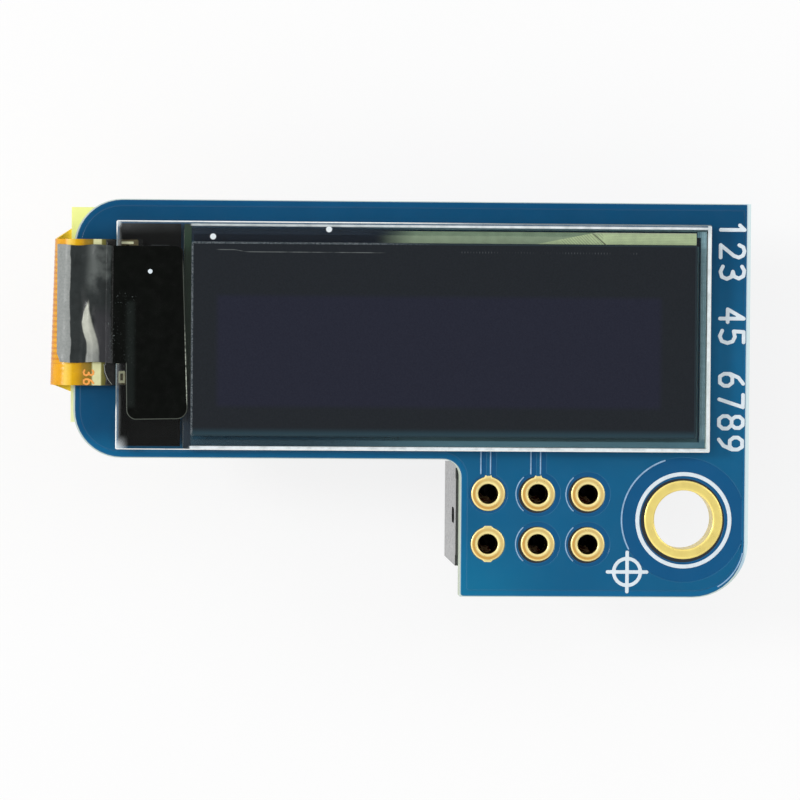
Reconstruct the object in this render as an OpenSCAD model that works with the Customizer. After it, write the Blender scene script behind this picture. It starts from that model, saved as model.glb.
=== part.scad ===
// Small display module: an L-shaped circuit board with a 0.91-inch class panel on top,
// a 2 x 3 socket header below and a flexible cable folded round the left edge.
// The origin is on the mounting hole's axis at the board's underside, +Z out of the display.

/* [Board] */
// Width of the board
board_w = 34.25; // [33:0.05:42]
// Height of the board, foot included
board_h = 20; // [19:0.1:25]
// Thickness of the board
board_t = 1.6; // [1.2:0.1:2]
// Height of the upper part, which carries the display
head_h = 13.05; // [12.6:0.05:16]
// Width of the foot, which carries the header and the mounting hole
foot_w = 14.65; // [14.5:0.05:18]
// Mounting hole's axis to the board's right edge
hole_to_right = 3.3; // [3:0.1:4.5]
// Mounting hole's axis to the board's lower edge
hole_to_bottom = 3.95; // [3.7:0.05:5]
// Radius of the two left corners
left_corner_r = 2.4; // [0.5:0.1:3]
// Radius of the lower right corner
right_corner_r = 2.8; // [0.5:0.1:3]
// Radius inside the notch
notch_r = 0.9; // [0.3:0.1:1.5]
// Thickness of the copper lands and plating
copper_t = 0.05; // [0.03:0.01:0.1]

/* [Mounting hole] */
// Finished bore of the mounting hole
mount_hole_d = 3; // [2.5:0.1:3.4]
// Outer diameter of its ring land
mount_land_d = 4; // [3.7:0.1:4.6]

/* [Pin holes] */
// Pitch of the pins, both ways
pin_pitch = 2.54; // [2:0.01:2.54]
// Mounting hole's axis to the nearest column of pins
hole_to_pins = 4.87; // [4.5:0.01:5.5]
// Finished bore of a pin hole
pin_hole_d = 1.02; // [0.9:0.01:1.15]
// Outer diameter of a pin's ring land
pin_land_d = 1.65; // [1.5:0.05:1.9]
// Width of the copper neck where a trace meets a land
neck_w = 0.34; // [0.2:0.02:0.5]
// Width of the ground land's two tabs
tab_w = 0.5; // [0.3:0.05:0.7]
// How far necks and tabs reach past the ring
neck_reach = 0.14; // [0.1:0.01:0.2]

/* [Header] */
// Gap between a foot and the nearest pin's ring land
foot_gap = 0.16; // [0.1:0.01:0.4]
// Width of the header body
header_w = 5; // [4.9:0.05:5.6]
// Board to the header's lower face
header_h = 8.5; // [7:0.1:10]
// Board to the header's upper face, held open by the two feet
header_standoff = 0.3; // [0.27:0.01:0.5]
// Length of each foot along the header
foot_l = 0.55; // [0.3:0.05:0.6]
// Square mouth that a pin enters
mouth = 0.9; // [0.75:0.05:1]
// Depth of the mouth's sloping lead-in
lead_in = 0.35; // [0.2:0.05:0.5]
// Depth of the mouth's straight wall above the lead-in
mouth_wall = 0.4; // [0.3:0.05:0.8]
// Cavity along the header
cavity_l = 1.3; // [1.25:0.05:1.6]
// Cavity across the header
cavity_w = 1.9; // [1.8:0.05:2]
// Width of the oval recess in each end
recess_w = 0.8; // [0.5:0.05:1.2]
// Height of the oval recess
recess_h = 1.9; // [1.2:0.1:3]
// Depth of the oval recess
recess_depth = 0.3; // [0.1:0.05:0.4]
// Header's upper face to the top of the recess
recess_drop = 0.8; // [0.5:0.1:2]

/* [Contacts] */
// Thickness of the contact strip
contact_t = 0.2; // [0.15:0.01:0.22]
// Width of a contact beam
contact_w = 0.7; // [0.5:0.05:0.8]
// Gap between the two beams where they grip a pin
grip_gap = 0.44; // [0.3:0.02:0.56]
// Header's lower face to the place where the beams grip
grip_depth = 2.5; // [2.1:0.1:3]
// Header's lower face to the tips of the beams
tip_depth = 1.4; // [1.1:0.1:1.7]
// Clearance between a contact and the walls of its cavity
contact_clear = 0.03; // [0.02:0.01:0.1]
// Header's centre line to the end of a leg
leg_reach = 3.45; // [3:0.05:3.45]
// Length of the web that joins the two beams
web_h = 2; // [1:0.1:2.4]
// How far a leg's land runs out past the leg
land_toe = 0.25; // [0.1:0.05:0.25]
// How far that land is wider than the leg, on each side
land_side = 0.15; // [0.05:0.05:0.3]
// Gap between that land and the pin hole's ring
land_gap = 0.1; // [0.08:0.01:0.3]

/* [Display panel] */
// Width of the front glass
panel_w = 30; // [29:0.1:31]
// Height of the panel
panel_h = 11.5; // [11:0.1:12]
// Width of the rear glass, flush with the front glass at the right
rear_w = 26.6; // [25:0.1:27]
// Thickness of either glass
glass_t = 0.5; // [0.4:0.05:0.7]
// How far the rear glass stops short of the front glass along the top
rear_inset = 0.15; // [0.05:0.05:0.3]
// Gap between the two glasses
seal_t = 0.04; // [0.02:0.01:0.1]
// Width of the glue frame in that gap
seal_w = 0.5; // [0.3:0.05:0.8]
// Board's left edge to the panel
panel_left_gap = 2.12; // [1.5:0.01:2.6]
// Board's top edge to the panel
panel_top_gap = 1.08; // [0.5:0.01:1.3]
// Thickness of the adhesive under the rear glass
glue_t = 0.2; // [0.1:0.05:0.4]
// How far the adhesive stops short of the rear glass
glue_inset = 1.3; // [1:0.1:2]

/* [Polarizer and active area] */
// Width of the polarizer
polarizer_w = 25.5; // [25:0.05:26]
// Height of the polarizer
polarizer_h = 9.76; // [9.5:0.01:10.5]
// Thickness of the polarizer
polarizer_t = 0.2; // [0.1:0.05:0.3]
// Panel's right edge to the polarizer
polarizer_right_gap = 0.74; // [0.3:0.02:0.9]
// Panel's lower edge to the polarizer
polarizer_bottom_gap = 0.71; // [0.3:0.02:0.9]
// Width of the active area
active_w = 22.38; // [21:0.01:23]
// Height of the active area
active_h = 5.58; // [5:0.01:6.5]
// Panel's right edge to the active area
active_right_gap = 2.6; // [1.8:0.05:3]
// Panel's lower edge to the active area
active_bottom_gap = 2.2; // [1.5:0.05:2.5]
// Length of the bright routing strip along its lower side
electrode_l = 8.1; // [5:0.1:12]
// How much the strip's slanted end takes off its upper side
electrode_slant = 3; // [1:0.1:4]
// Height of the routing strip
electrode_h = 0.6; // [0.4:0.02:0.7]
// Panel's right edge to the strip
electrode_right_gap = 0.72; // [0.55:0.02:1]
// Thickness of the routing strip's film
electrode_t = 0.02; // [0.01:0.01:0.02]

/* [Driver and ledge] */
// Length of the driver chip
driver_l = 6.8; // [6:0.1:8]
// Width of the driver chip
driver_w = 0.9; // [0.7:0.05:1.2]
// Thickness of the driver chip
driver_t = 0.3; // [0.2:0.02:0.4]
// Front glass's left edge to the driver chip
driver_gap = 1.75; // [1.6:0.05:2]
// Gap between the foam and the edges of the ledge
foam_gap = 0.15; // [0.1:0.05:0.4]

/* [Flexible cable] */
// Width of the cable where it leaves the glass
flex_w = 7.35; // [6:0.05:8.4]
// Thickness of the cable
flex_t = 0.12; // [0.08:0.01:0.2]
// How far the cable runs under the front glass
flex_bond = 1.35; // [1:0.05:1.5]
// Panel's centre line up to the cable's
flex_rise = 1.12; // [0:0.02:1.2]
// Board's left edge to the start of the cable's bend
bend_gap = 0.18; // [0.12:0.01:0.4]
// Outer radius of each of the cable's two bends
bend_r = 1; // [0.8:0.05:1.25]
// Width of the cable where it meets the board's back
flex_back_w = 8.7; // [8.5:0.05:9.2]
// Width of the cable's tail
tail_w = 9.9; // [9.5:0.05:10]
// Length over which the tail widens
tail_flare = 3; // [1.5:0.1:4]
// Length of the cable on the board's back
tail_l = 6.5; // [6:0.1:8]
// Contacts soldered at the tail
tail_pins = 14; // [10:1:14]
// Pitch of those contacts
tail_pitch = 0.62; // [0.5:0.01:0.65]
// Width of one tail contact's joint
tail_joint_w = 0.34; // [0.25:0.01:0.36]
// Thickness of the adhesive pad under the cable
pad_t = 0.12; // [0.08:0.01:0.2]
// Height of the adhesive pad
pad_h = 10.9; // [10.2:0.1:11.5]
// How far the pad sticks out past the board's left edge
pad_overhang = 0.15; // [0:0.01:0.15]
// How far the pad's centre lies below the cable's
pad_drop = 0.16; // [0:0.02:0.5]
// How far a tail joint reaches under the tail
joint_under = 1; // [0.5:0.1:1.2]
// How far a tail joint's land runs out past the tail
joint_toe = 0.7; // [0.4:0.05:1]
// Gap between the adhesive pad and the tail's joints
pad_end_gap = 0.4; // [0.2:0.1:1]

/* [Black tape] */
// Thickness of the tape
tape_t = 0.06; // [0.04:0.01:0.1]
// Width of the tape on the glass
tape_w = 3; // [2.6:0.05:3.1]
// Height of the tape on the glass
tape_h = 8.8; // [8:0.1:9.5]
// Radius of the tape's corners
tape_r = 0.4; // [0.2:0.05:0.8]
// Front glass's left edge to the tape
tape_gap = 0.43; // [0.3:0.01:0.45]
// Width of the tab that runs down over the cable
tab_tape_w = 5.9; // [5:0.1:7]
// Cable's centre line up to the tab's
tab_rise = 0.45; // [0:0.05:0.6]
// How far the tab wraps round the bend, in degrees
tab_wrap = 40; // [30:1:80]

/* [Chips] */
// Length of a chip
chip_l = 1.6; // [1.4:0.1:2]
// Width of a chip
chip_w = 0.8; // [0.6:0.05:1.2]
// Thickness of a capacitor
capacitor_t = 0.8; // [0.5:0.05:1]
// Thickness of a resistor
resistor_t = 0.45; // [0.35:0.05:0.6]
// Length of a chip's end cap
cap_l = 0.35; // [0.2:0.05:0.5]
// How far an end cap stands proud of the chip's body
cap_proud = 0.02; // [0.01:0.01:0.05]
// Length of the land beyond a chip's end
chip_toe = 0.45; // [0.3:0.05:0.6]
// Height that the solder climbs up a chip's end
fillet_h = 0.3; // [0.15:0.05:0.35]
// Pitch of the chips down a column
chip_pitch = 1.75; // [1.5:0.05:2]
// Tail's end to the centres of the first column
first_column = 3; // [2.8:0.1:4]
// First column to the second
column_pitch = 3.6; // [3.4:0.1:4.5]

/* [Hidden] */
$fn = 48;
slack = 1;

pin_rows = 2;
pin_columns = 3;
capacitors = 6;
resistors = 4;
chips_down = 5;
ground_pin = 6;
traced_pins = [3, 5];

board_left = hole_to_right - board_w;
board_right = hole_to_right;
board_bottom = -hole_to_bottom;
board_top = board_h - hole_to_bottom;
foot_left = hole_to_right - foot_w;
notch_y = board_top - head_h;

header_x = -hole_to_pins - pin_pitch * (pin_columns - 1) / 2;
header_top = -header_standoff;
header_l = pin_pitch * (pin_columns - 1) + pin_land_d + 2 * (foot_gap + foot_l);
grip_z = header_h - grip_depth;
tip_z = header_h - tip_depth;
cavity_floor = -header_h + lead_in + mouth_wall;

panel_left = board_left + panel_left_gap;
panel_right = panel_left + panel_w;
panel_top = board_top - panel_top_gap;
panel_bottom = panel_top - panel_h;
panel_y = (panel_top + panel_bottom) / 2;
rear_left = panel_right - rear_w;
rear_top = panel_top - rear_inset;
rear_z = board_t + glue_t;
gap_z = rear_z + glass_t;
front_z = gap_z + seal_t;
face_z = front_z + glass_t;
polarizer_right = panel_right - polarizer_right_gap;
polarizer_bottom = panel_bottom + polarizer_bottom_gap;
polarizer_top = polarizer_bottom + polarizer_h;
driver_x = panel_left + driver_gap;

flex_y = panel_y + flex_rise;
bend_x = board_left - bend_gap;
flex_under_z = -pad_t - flex_t;
bend_high = front_z - bend_r;
bend_low = flex_under_z + bend_r;
tail_end = bend_x + tail_l;
tab_y = flex_y + tab_rise;
tape_left = panel_left + tape_gap;

// Pins are numbered from the column nearest the mounting hole, odd pins in the upper row.
function pin_x(n) = -hole_to_pins - pin_pitch * floor((n - 1) / pin_rows);
function pin_side(n) = n % pin_rows == 1 ? 1 : -1;
function pin_y(n) = pin_side(n) * pin_pitch / 2;

// Chips run down two columns from the top: the capacitors first, then the resistors.
function chip_x(n) = tail_end + first_column + column_pitch * floor((n - 1) / chips_down);
function chip_y(n) = flex_y + chip_pitch * ((chips_down - 1) / 2 - (n - 1) % chips_down);
function chip_top(n) = n <= capacitors ? capacitor_t : resistor_t;

// A box from one corner to the opposite one
module block(low, high) {
    translate(low)
        cube(high - low);
}

// Mirrors its children across X or Y for side -1 and leaves them for side 1
module x_side(side) {
    mirror([side < 0 ? 1 : 0, 0, 0])
        children();
}

module y_side(side) {
    mirror([0, side < 0 ? 1 : 0, 0])
        children();
}

// Turns an outline drawn in X and Z into a solid of the given width about a line of constant Y
module across(y, width) {
    translate([0, y + width / 2, 0])
        rotate([90, 0, 0])
            linear_extrude(width)
                children();
}

// The waste outside a quarter round in the corner at the origin, which opens towards +X and +Y
module corner_waste(r) {
    difference() {
        translate([-slack, -slack])
            square(r + slack);
        translate([r, r])
            circle(r);
    }
}

// Waste below the head and left of the foot, with a rounded inner corner
module notch_waste() {
    width = foot_left - board_left + slack;
    height = notch_y - board_bottom + slack;
    translate([board_left - slack, board_bottom - slack]) {
        square([width - notch_r, height]);
        square([width, height - notch_r]);
    }
    translate([foot_left - notch_r, notch_y - notch_r])
        circle(notch_r);
}

module board_outline() {
    difference() {
        translate([board_left, board_bottom])
            square([board_w, board_h]);
        notch_waste();
        translate([board_left, board_top])
            mirror([0, 1])
                corner_waste(left_corner_r);
        translate([board_left, notch_y])
            corner_waste(left_corner_r);
        translate([board_right, board_bottom])
            mirror([1, 0])
                corner_waste(right_corner_r);
    }
}

module hole_cutter(d) {
    translate([0, 0, -slack])
        cylinder(d = d, h = board_t + 2 * slack);
}

// The mounting hole is cut at its finished bore, which counts its thin plated wall as the
// board's own. The pin holes are cut for their separate barrels.
module circuit_board() {
    color("steelblue")
        difference() {
            linear_extrude(board_t)
                board_outline();
            hole_cutter(mount_hole_d);
            for (n = [1 : pin_rows * pin_columns])
                translate([pin_x(n), pin_y(n), 0])
                    hole_cutter(pin_hole_d + 2 * copper_t);
        }
}

// A land on each face of the board. Children are land shapes to add on the upper face.
module two_lands(d) {
    translate([0, 0, -copper_t])
        cylinder(d = d, h = copper_t);
    translate([0, 0, board_t])
        linear_extrude(copper_t) {
            circle(d = d);
            children();
        }
}

// Ring lands of the mounting hole
module mounting_hole_plating() {
    color("gold")
        difference() {
            two_lands(mount_land_d);
            hole_cutter(mount_hole_d);
        }
}

// Plated barrel of a pin hole with its ring lands
module pin_hole_plating(n) {
    reach = pin_land_d / 2 + neck_reach;
    color("gold")
        translate([pin_x(n), pin_y(n), 0])
            difference() {
                union() {
                    cylinder(d = pin_hole_d + 2 * copper_t, h = board_t);
                    two_lands(pin_land_d) {
                        if (len(search(n, traced_pins)) > 0)
                            translate([-neck_w / 2, 0])
                                square([neck_w, reach]);
                        if (n == ground_pin)
                            translate([-tab_w / 2, -reach])
                                square([tab_w, 2 * reach]);
                    }
                }
                hole_cutter(pin_hole_d);
            }
}

// Sloping lead-in below a square mouth, as the meeting of two trapezoid prisms
module lead_in_cutter() {
    half = mouth / 2;
    profile = [
        [-half, lead_in], [-half - lead_in, 0], [-half - lead_in - slack, -slack],
        [half + lead_in + slack, -slack], [half + lead_in, 0], [half, lead_in]
    ];
    reach = mouth + 2 * (lead_in + 2 * slack);
    intersection() {
        across(0, reach)
            polygon(profile);
        rotate([0, 0, 90])
            across(0, reach)
                polygon(profile);
    }
}

// One pin's way through the header: lead-in, square mouth and the cavity of its contact
module socket_cutter() {
    translate([0, 0, -header_h])
        lead_in_cutter();
    block([-mouth / 2, -mouth / 2, -header_h + lead_in - contact_clear],
        [mouth / 2, mouth / 2, cavity_floor + contact_clear]);
    block([-cavity_l / 2, -cavity_w / 2, cavity_floor], [cavity_l / 2, cavity_w / 2, slack]);
}

// Oval recess in the end face that looks towards -X
module end_recess() {
    top = header_top - recess_drop;
    r = recess_w / 2;
    for (z = [top - r, top - recess_h + r])
        translate([-header_l / 2 - slack, 0, z])
            rotate([0, 90, 0])
                cylinder(r = r, h = recess_depth + slack);
    block([-header_l / 2 - slack, -r, top - recess_h + r],
        [-header_l / 2 + recess_depth, r, top - r]);
}

module header_housing() {
    foot_half = header_w / 2 - foot_l;
    color("dimgray")
        difference() {
            translate([header_x, 0, 0]) {
                block([-header_l / 2, -header_w / 2, -header_h],
                    [header_l / 2, header_w / 2, header_top]);
                for (side = [-1, 1])
                    x_side(side)
                        block([header_l / 2 - foot_l, -foot_half, header_top - contact_clear],
                            [header_l / 2, foot_half, 0]);
            }
            for (n = [1 : pin_rows * pin_columns])
                translate([pin_x(n), pin_y(n), 0])
                    socket_cutter();
            translate([header_x, 0, 0]) {
                end_recess();
                mirror([1, 0, 0])
                    end_recess();
            }
        }
}

// Side view of a sprung beam to the right of the pin: Y across, Z down the cavity
function beam_outline(top_z) = let(
    root = cavity_w / 2 - contact_clear,
    grip = grip_gap / 2,
    bend_start = (top_z - grip_z) / 2,
    tip = grip + contact_t
) [
    [root, top_z], [root, bend_start], [grip + contact_t, -grip_z],
    [tip + contact_t, -tip_z], [tip, -tip_z], [grip, -grip_z],
    [root - contact_t, bend_start], [root - contact_t, top_z]
];

// Contact of one pin: two beams, the web that joins them and the leg out to its land
module header_contact(n) {
    leg_top = -copper_t;
    web_top = header_top - contact_t;
    web_bottom = web_top - web_h;
    root = cavity_w / 2 - contact_clear;
    color("goldenrod")
        translate([pin_x(n), pin_y(n), 0])
            y_side(pin_side(n)) {
                rotate([0, 0, 90])
                    across(0, contact_w) {
                        polygon(beam_outline(leg_top));
                        mirror([1, 0])
                            polygon(beam_outline(web_top));
                    }
                block([-contact_w / 2, root - contact_t, leg_top - contact_t],
                    [contact_w / 2, leg_reach - pin_pitch / 2, leg_top]);
                block([-contact_w / 2 - contact_t, -root, web_bottom],
                    [-contact_w / 2, root, web_top]);
            }
}

module display_adhesive() {
    color("whitesmoke")
        block([rear_left + glue_inset, panel_bottom + glue_inset, board_t],
            [panel_right - glue_inset, panel_top - glue_inset, rear_z]);
}

module display_rear_glass() {
    color("lightcyan", 0.4)
        block([rear_left, panel_bottom, rear_z], [panel_right, rear_top, gap_z]);
}

module display_front_glass() {
    color("lightcyan", 0.4)
        block([panel_left, panel_bottom, front_z], [panel_right, panel_top, face_z]);
}

// Glue frame on the rear glass, kept thinner than the gap to leave room for the electrodes
module edge_seal() {
    color("lightgray")
        difference() {
            block([rear_left, panel_bottom, gap_z],
                [panel_right, rear_top, front_z - electrode_t]);
            block([rear_left + seal_w, panel_bottom + seal_w, gap_z - slack],
                [panel_right - seal_w, rear_top - seal_w, front_z + slack]);
        }
}

module emitter_layer() {
    right = panel_right - active_right_gap;
    bottom = panel_bottom + active_bottom_gap;
    color("darkslateblue")
        block([right - active_w, bottom, gap_z], [right, bottom + active_h, front_z]);
}

// Routing strip under the front glass, between the polarizer's upper edge and the panel's
module electrode_film() {
    right = panel_right - electrode_right_gap;
    left = right - electrode_l;
    color("darkkhaki")
        translate([0, polarizer_top, front_z - electrode_t])
            linear_extrude(electrode_t)
                polygon([
                    [left, 0], [right, 0],
                    [right, electrode_h], [left + electrode_slant, electrode_h]
                ]);
}

module polarizer_film() {
    color("darkslategray")
        block([polarizer_right - polarizer_w, polarizer_bottom, face_z],
            [polarizer_right, polarizer_top, face_z + polarizer_t]);
}

module driver_chip() {
    color("silver")
        block([driver_x, flex_y - driver_l / 2, front_z - driver_t],
            [driver_x + driver_w, flex_y + driver_l / 2, front_z]);
}

module ledge_foam() {
    color("black")
        block([panel_left + foam_gap, panel_bottom + foam_gap, board_t],
            [rear_left - foam_gap, panel_top - foam_gap, front_z - driver_t]);
}

// Side view of the space inside a bend of radius r: two quarter rounds with a flat between
module bend_outline(r) {
    translate([bend_x - r, bend_low])
        square([r, bend_high - bend_low]);
    intersection() {
        for (z = [bend_low, bend_high])
            translate([bend_x, z])
                circle(r);
        translate([bend_x - r, bend_low - r])
            square([r, bend_high - bend_low + 2 * r]);
    }
}

// Front view of the cable at the bend, which widens on its way down to the board's back
module flare_outline() {
    half = flex_w / 2;
    back_half = flex_back_w / 2;
    polygon([
        [-half, front_z + slack], [-half, bend_high], [-back_half, flex_under_z],
        [-back_half, flex_under_z - slack], [back_half, flex_under_z - slack],
        [back_half, flex_under_z], [half, bend_high], [half, front_z + slack]
    ]);
}

// The cable: bonded under the glass, round the bend, then along the board's back
module flex_cable() {
    half = flex_w / 2;
    back_half = flex_back_w / 2;
    tail_half = tail_w / 2;
    color("orange")
        translate([0, flex_y, 0]) {
            block([bend_x, -half, front_z - flex_t], [panel_left + flex_bond, half, front_z]);
            intersection() {
                across(0, tail_w)
                    difference() {
                        bend_outline(bend_r);
                        bend_outline(bend_r - flex_t);
                    }
                translate([bend_x - bend_r - slack, 0, 0])
                    rotate([90, 0, 90])
                        linear_extrude(bend_r + slack)
                            flare_outline();
            }
            translate([bend_x, 0, flex_under_z])
                linear_extrude(flex_t)
                    polygon([
                        [0, -back_half], [tail_flare, -tail_half],
                        [tail_l, -tail_half], [tail_l, tail_half],
                        [tail_flare, tail_half], [0, back_half]
                    ]);
        }
}

// Pale pad that holds the cable to the board's back
module flex_adhesive_pad() {
    pad_y = flex_y - pad_drop;
    color("khaki")
        block([board_left - pad_overhang, pad_y - pad_h / 2, -pad_t],
            [tail_end - joint_under - pad_end_gap, pad_y + pad_h / 2, 0]);
}

// Black tape: flat over the driver, with a tab that steps down over the glass edge and
// follows the cable part of the way round its bend
module cover_tape() {
    tab_top = front_z + tape_t;
    step = tape_gap;
    color("black") {
        translate([0, 0, face_z])
            linear_extrude(tape_t)
                tape_outline();
        across(tab_y, tab_tape_w)
            polygon([
                [tape_left, face_z], [tape_left, face_z + tape_t],
                [panel_left - tape_t, face_z + tape_t],
                [panel_left - step, tab_top], [bend_x, tab_top],
                [bend_x, front_z], [panel_left - step - tape_t / 2, front_z],
                [panel_left - tape_t / 2, face_z]
            ]);
        translate([bend_x, tab_y, bend_high])
            rotate([90, -90, 0])
                rotate_extrude(angle = tab_wrap, $fn = 96)
                    translate([bend_r, -tab_tape_w / 2])
                        square([tape_t, tab_tape_w]);
    }
}

// Rounded rectangle, its upper edge level with the tab's
module tape_outline() {
    tape_top = tab_y + tab_tape_w / 2;
    bottom = tape_top - tape_h;
    right = tape_left + tape_w;
    difference() {
        translate([tape_left, bottom])
            square([tape_w, tape_h]);
        translate([tape_left, bottom])
            corner_waste(tape_r);
        translate([right, bottom])
            mirror([1, 0])
                corner_waste(tape_r);
        translate([right, tape_top])
            mirror([1, 0])
                mirror([0, 1])
                    corner_waste(tape_r);
    }
}

// A chip on its lands: the body, and an end cap wrapped round each end
module chip(n, body_colour) {
    height = chip_top(n);
    translate([chip_x(n), chip_y(n), -copper_t]) {
        color(body_colour)
            block([-chip_l / 2 + cap_l, -chip_w / 2 + cap_proud, -height + cap_proud],
                [chip_l / 2 - cap_l, chip_w / 2 - cap_proud, -cap_proud]);
        color("silver")
            for (side = [-1, 1])
                x_side(side)
                    block([chip_l / 2 - cap_l, -chip_w / 2, -height], [chip_l / 2, chip_w / 2, 0]);
    }
}

module chip_lands() {
    color("gold")
        for (n = [1 : capacitors + resistors], side = [-1, 1])
            translate([chip_x(n), chip_y(n), 0])
                x_side(side)
                    block([chip_l / 2 - cap_l, -chip_w / 2, -copper_t],
                        [chip_l / 2 + chip_toe, chip_w / 2, 0]);
}

// Fillets that climb a chip's ends from the lands
module chip_solder() {
    color("silver")
        for (n = [1 : capacitors + resistors], side = [-1, 1])
            translate([chip_x(n), chip_y(n), -copper_t])
                x_side(side)
                    across(0, chip_w - 2 * cap_proud)
                        translate([chip_l / 2, 0])
                            polygon([
                                [0, 0], [chip_toe, 0],
                                [chip_toe / 3, -fillet_h / 3], [0, -fillet_h]
                            ]);
}

// Lands under the legs, one for each pin
module header_lands() {
    inner = (pin_pitch + pin_land_d) / 2 + land_gap;
    half = contact_w / 2 + land_side;
    color("gold")
        for (n = [1 : pin_rows * pin_columns])
            translate([pin_x(n), 0, 0])
                y_side(pin_side(n))
                    block([-half, inner, -copper_t], [half, leg_reach + land_toe, 0]);
}

module header_solder() {
    color("silver")
        for (n = [1 : pin_rows * pin_columns])
            translate([pin_x(n), 0, 0])
                y_side(pin_side(n))
                    translate([0, leg_reach, -copper_t])
                        rotate([0, 0, 90])
                            across(0, contact_w)
                                polygon([
                                    [0, 0], [land_toe, 0],
                                    [land_toe / 3, -contact_t / 3], [0, -contact_t]
                                ]);
}

function tail_pin_y(i) = flex_y + tail_pitch * (i - (tail_pins - 1) / 2);

module flex_lands() {
    color("gold")
        for (i = [0 : tail_pins - 1])
            translate([tail_end, tail_pin_y(i), 0])
                block([-joint_under, -tail_joint_w / 2, -copper_t],
                    [joint_toe, tail_joint_w / 2, 0]);
}

// Joints that fill the space under the tail's end and climb its edge
module flex_solder() {
    color("silver")
        for (i = [0 : tail_pins - 1])
            translate([tail_end, 0, 0])
                across(tail_pin_y(i), tail_joint_w)
                    polygon([
                        [-joint_under, -copper_t], [-joint_under, -pad_t], [0, -pad_t],
                        [0, flex_under_z], [joint_toe / 4, -pad_t], [joint_toe, -copper_t]
                    ]);
}

circuit_board();
mounting_hole_plating();
for (n = [1 : pin_rows * pin_columns]) {
    pin_hole_plating(n);
    header_contact(n);
}
header_housing();
display_adhesive();
display_rear_glass();
edge_seal();
emitter_layer();
electrode_film();
display_front_glass();
polarizer_film();
driver_chip();
ledge_foam();
cover_tape();
flex_cable();
flex_adhesive_pad();
for (n = [1 : capacitors])
    chip(n, "peru");
for (n = [1 : resistors])
    chip(capacitors + n, "black");
header_lands();
flex_lands();
chip_lands();
header_solder();
flex_solder();
chip_solder();
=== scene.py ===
"""Looks of the small OLED display module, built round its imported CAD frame.

Lengths are in millimetres, in the CAD frame: the origin is on the mounting hole's axis at the
board's underside, and +Z points out of the display. piece() turns millimetres into metres.
"""

import math

import bpy
from mathutils import Matrix, Vector, noise
from mathutils.geometry import tessellate_polygon


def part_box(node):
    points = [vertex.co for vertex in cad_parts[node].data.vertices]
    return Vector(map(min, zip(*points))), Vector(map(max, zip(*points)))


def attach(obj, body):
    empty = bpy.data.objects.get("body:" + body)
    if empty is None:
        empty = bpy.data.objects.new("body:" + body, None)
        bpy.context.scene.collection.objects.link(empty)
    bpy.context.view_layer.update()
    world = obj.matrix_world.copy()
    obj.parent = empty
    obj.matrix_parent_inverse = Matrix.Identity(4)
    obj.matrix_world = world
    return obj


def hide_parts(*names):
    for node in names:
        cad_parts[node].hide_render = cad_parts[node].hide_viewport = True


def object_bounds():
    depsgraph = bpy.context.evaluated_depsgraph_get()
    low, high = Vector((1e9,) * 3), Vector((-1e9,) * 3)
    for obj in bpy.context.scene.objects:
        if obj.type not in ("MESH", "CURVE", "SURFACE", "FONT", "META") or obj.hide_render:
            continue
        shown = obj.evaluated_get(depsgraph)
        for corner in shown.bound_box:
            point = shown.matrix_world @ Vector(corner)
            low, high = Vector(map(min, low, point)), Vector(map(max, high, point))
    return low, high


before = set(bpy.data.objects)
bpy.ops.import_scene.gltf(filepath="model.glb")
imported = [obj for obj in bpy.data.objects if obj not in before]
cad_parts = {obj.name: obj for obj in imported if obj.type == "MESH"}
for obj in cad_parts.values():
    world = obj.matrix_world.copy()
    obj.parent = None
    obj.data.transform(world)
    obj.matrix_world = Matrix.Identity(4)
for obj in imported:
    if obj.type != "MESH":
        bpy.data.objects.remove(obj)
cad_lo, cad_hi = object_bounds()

MM = 0.001


def span(node):
    """Lowest and highest x, y and z of a CAD node."""
    lo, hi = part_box(node)
    return [(lo[i] / MM, hi[i] / MM) for i in range(3)]


(BOARD_X0, BOARD_X1), (BOARD_Y0, BOARD_Y1), (_, BOARD_Z1) = span("circuit_board")
(PANEL_X0, PANEL_X1), (PANEL_Y0, PANEL_Y1), (FRONT_Z0, FRONT_Z1) = span("display_front_glass")
(REAR_X0, REAR_X1), (REAR_Y0, REAR_Y1), (REAR_Z0, REAR_Z1) = span("display_rear_glass")
(POL_X0, POL_X1), (POL_Y0, POL_Y1), (POL_Z0, POL_Z1) = span("polarizer_film")
(ACTIVE_X0, ACTIVE_X1), (ACTIVE_Y0, ACTIVE_Y1), _ = span("emitter_layer")
STRIP_Y1 = span("electrode_film")[1][1]
(_, FLEX_X1), _, (FLEX_Z0, FLEX_Z1) = span("flex_cable")
_, (TAPE_Y0, TAPE_Y1), (_, TAPE_Z1) = span("cover_tape")
(HEAD_X0, HEAD_X1), (HEAD_Y0, HEAD_Y1), (HEAD_Z0, _) = span("header_housing")
PIN_ROW_Y = 1.27
PINS = {}
for n in range(1, 7):
    px0, px1 = span("pin_hole_plating_%d" % n)[0]
    PINS[n] = ((px0 + px1) / 2, PIN_ROW_Y if n % 2 else -PIN_ROW_Y)

FOOT_LEFT = -11.35
NOTCH_Y = 3.0
LEFT_CORNER_R = 2.4
RIGHT_CORNER_R = 2.8
NOTCH_R = 0.9
HOLE_R = 1.5
PIN_LAND_R = 0.825
TOP_LAND_R = 0.865
MOUNT_LAND_R = 2.0
PIN_HOLE_R = 0.51
COPPER_T = 0.05
NECK_W = 0.34
TAB_W = 0.5
NECK_REACH = 0.14


# ---------------------------------------------------------------- camera, fitted to the six rings

CAMERA_AIM = Vector((-14.4643, 6.0018, 1.65))
CAMERA_DISTANCE = 257.4945
CAMERA_LENS = 229.12
CAMERA_TURNS = ((-0.3587, "Z"), (3.2331, "Y"), (1.8140, "X"))

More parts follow.
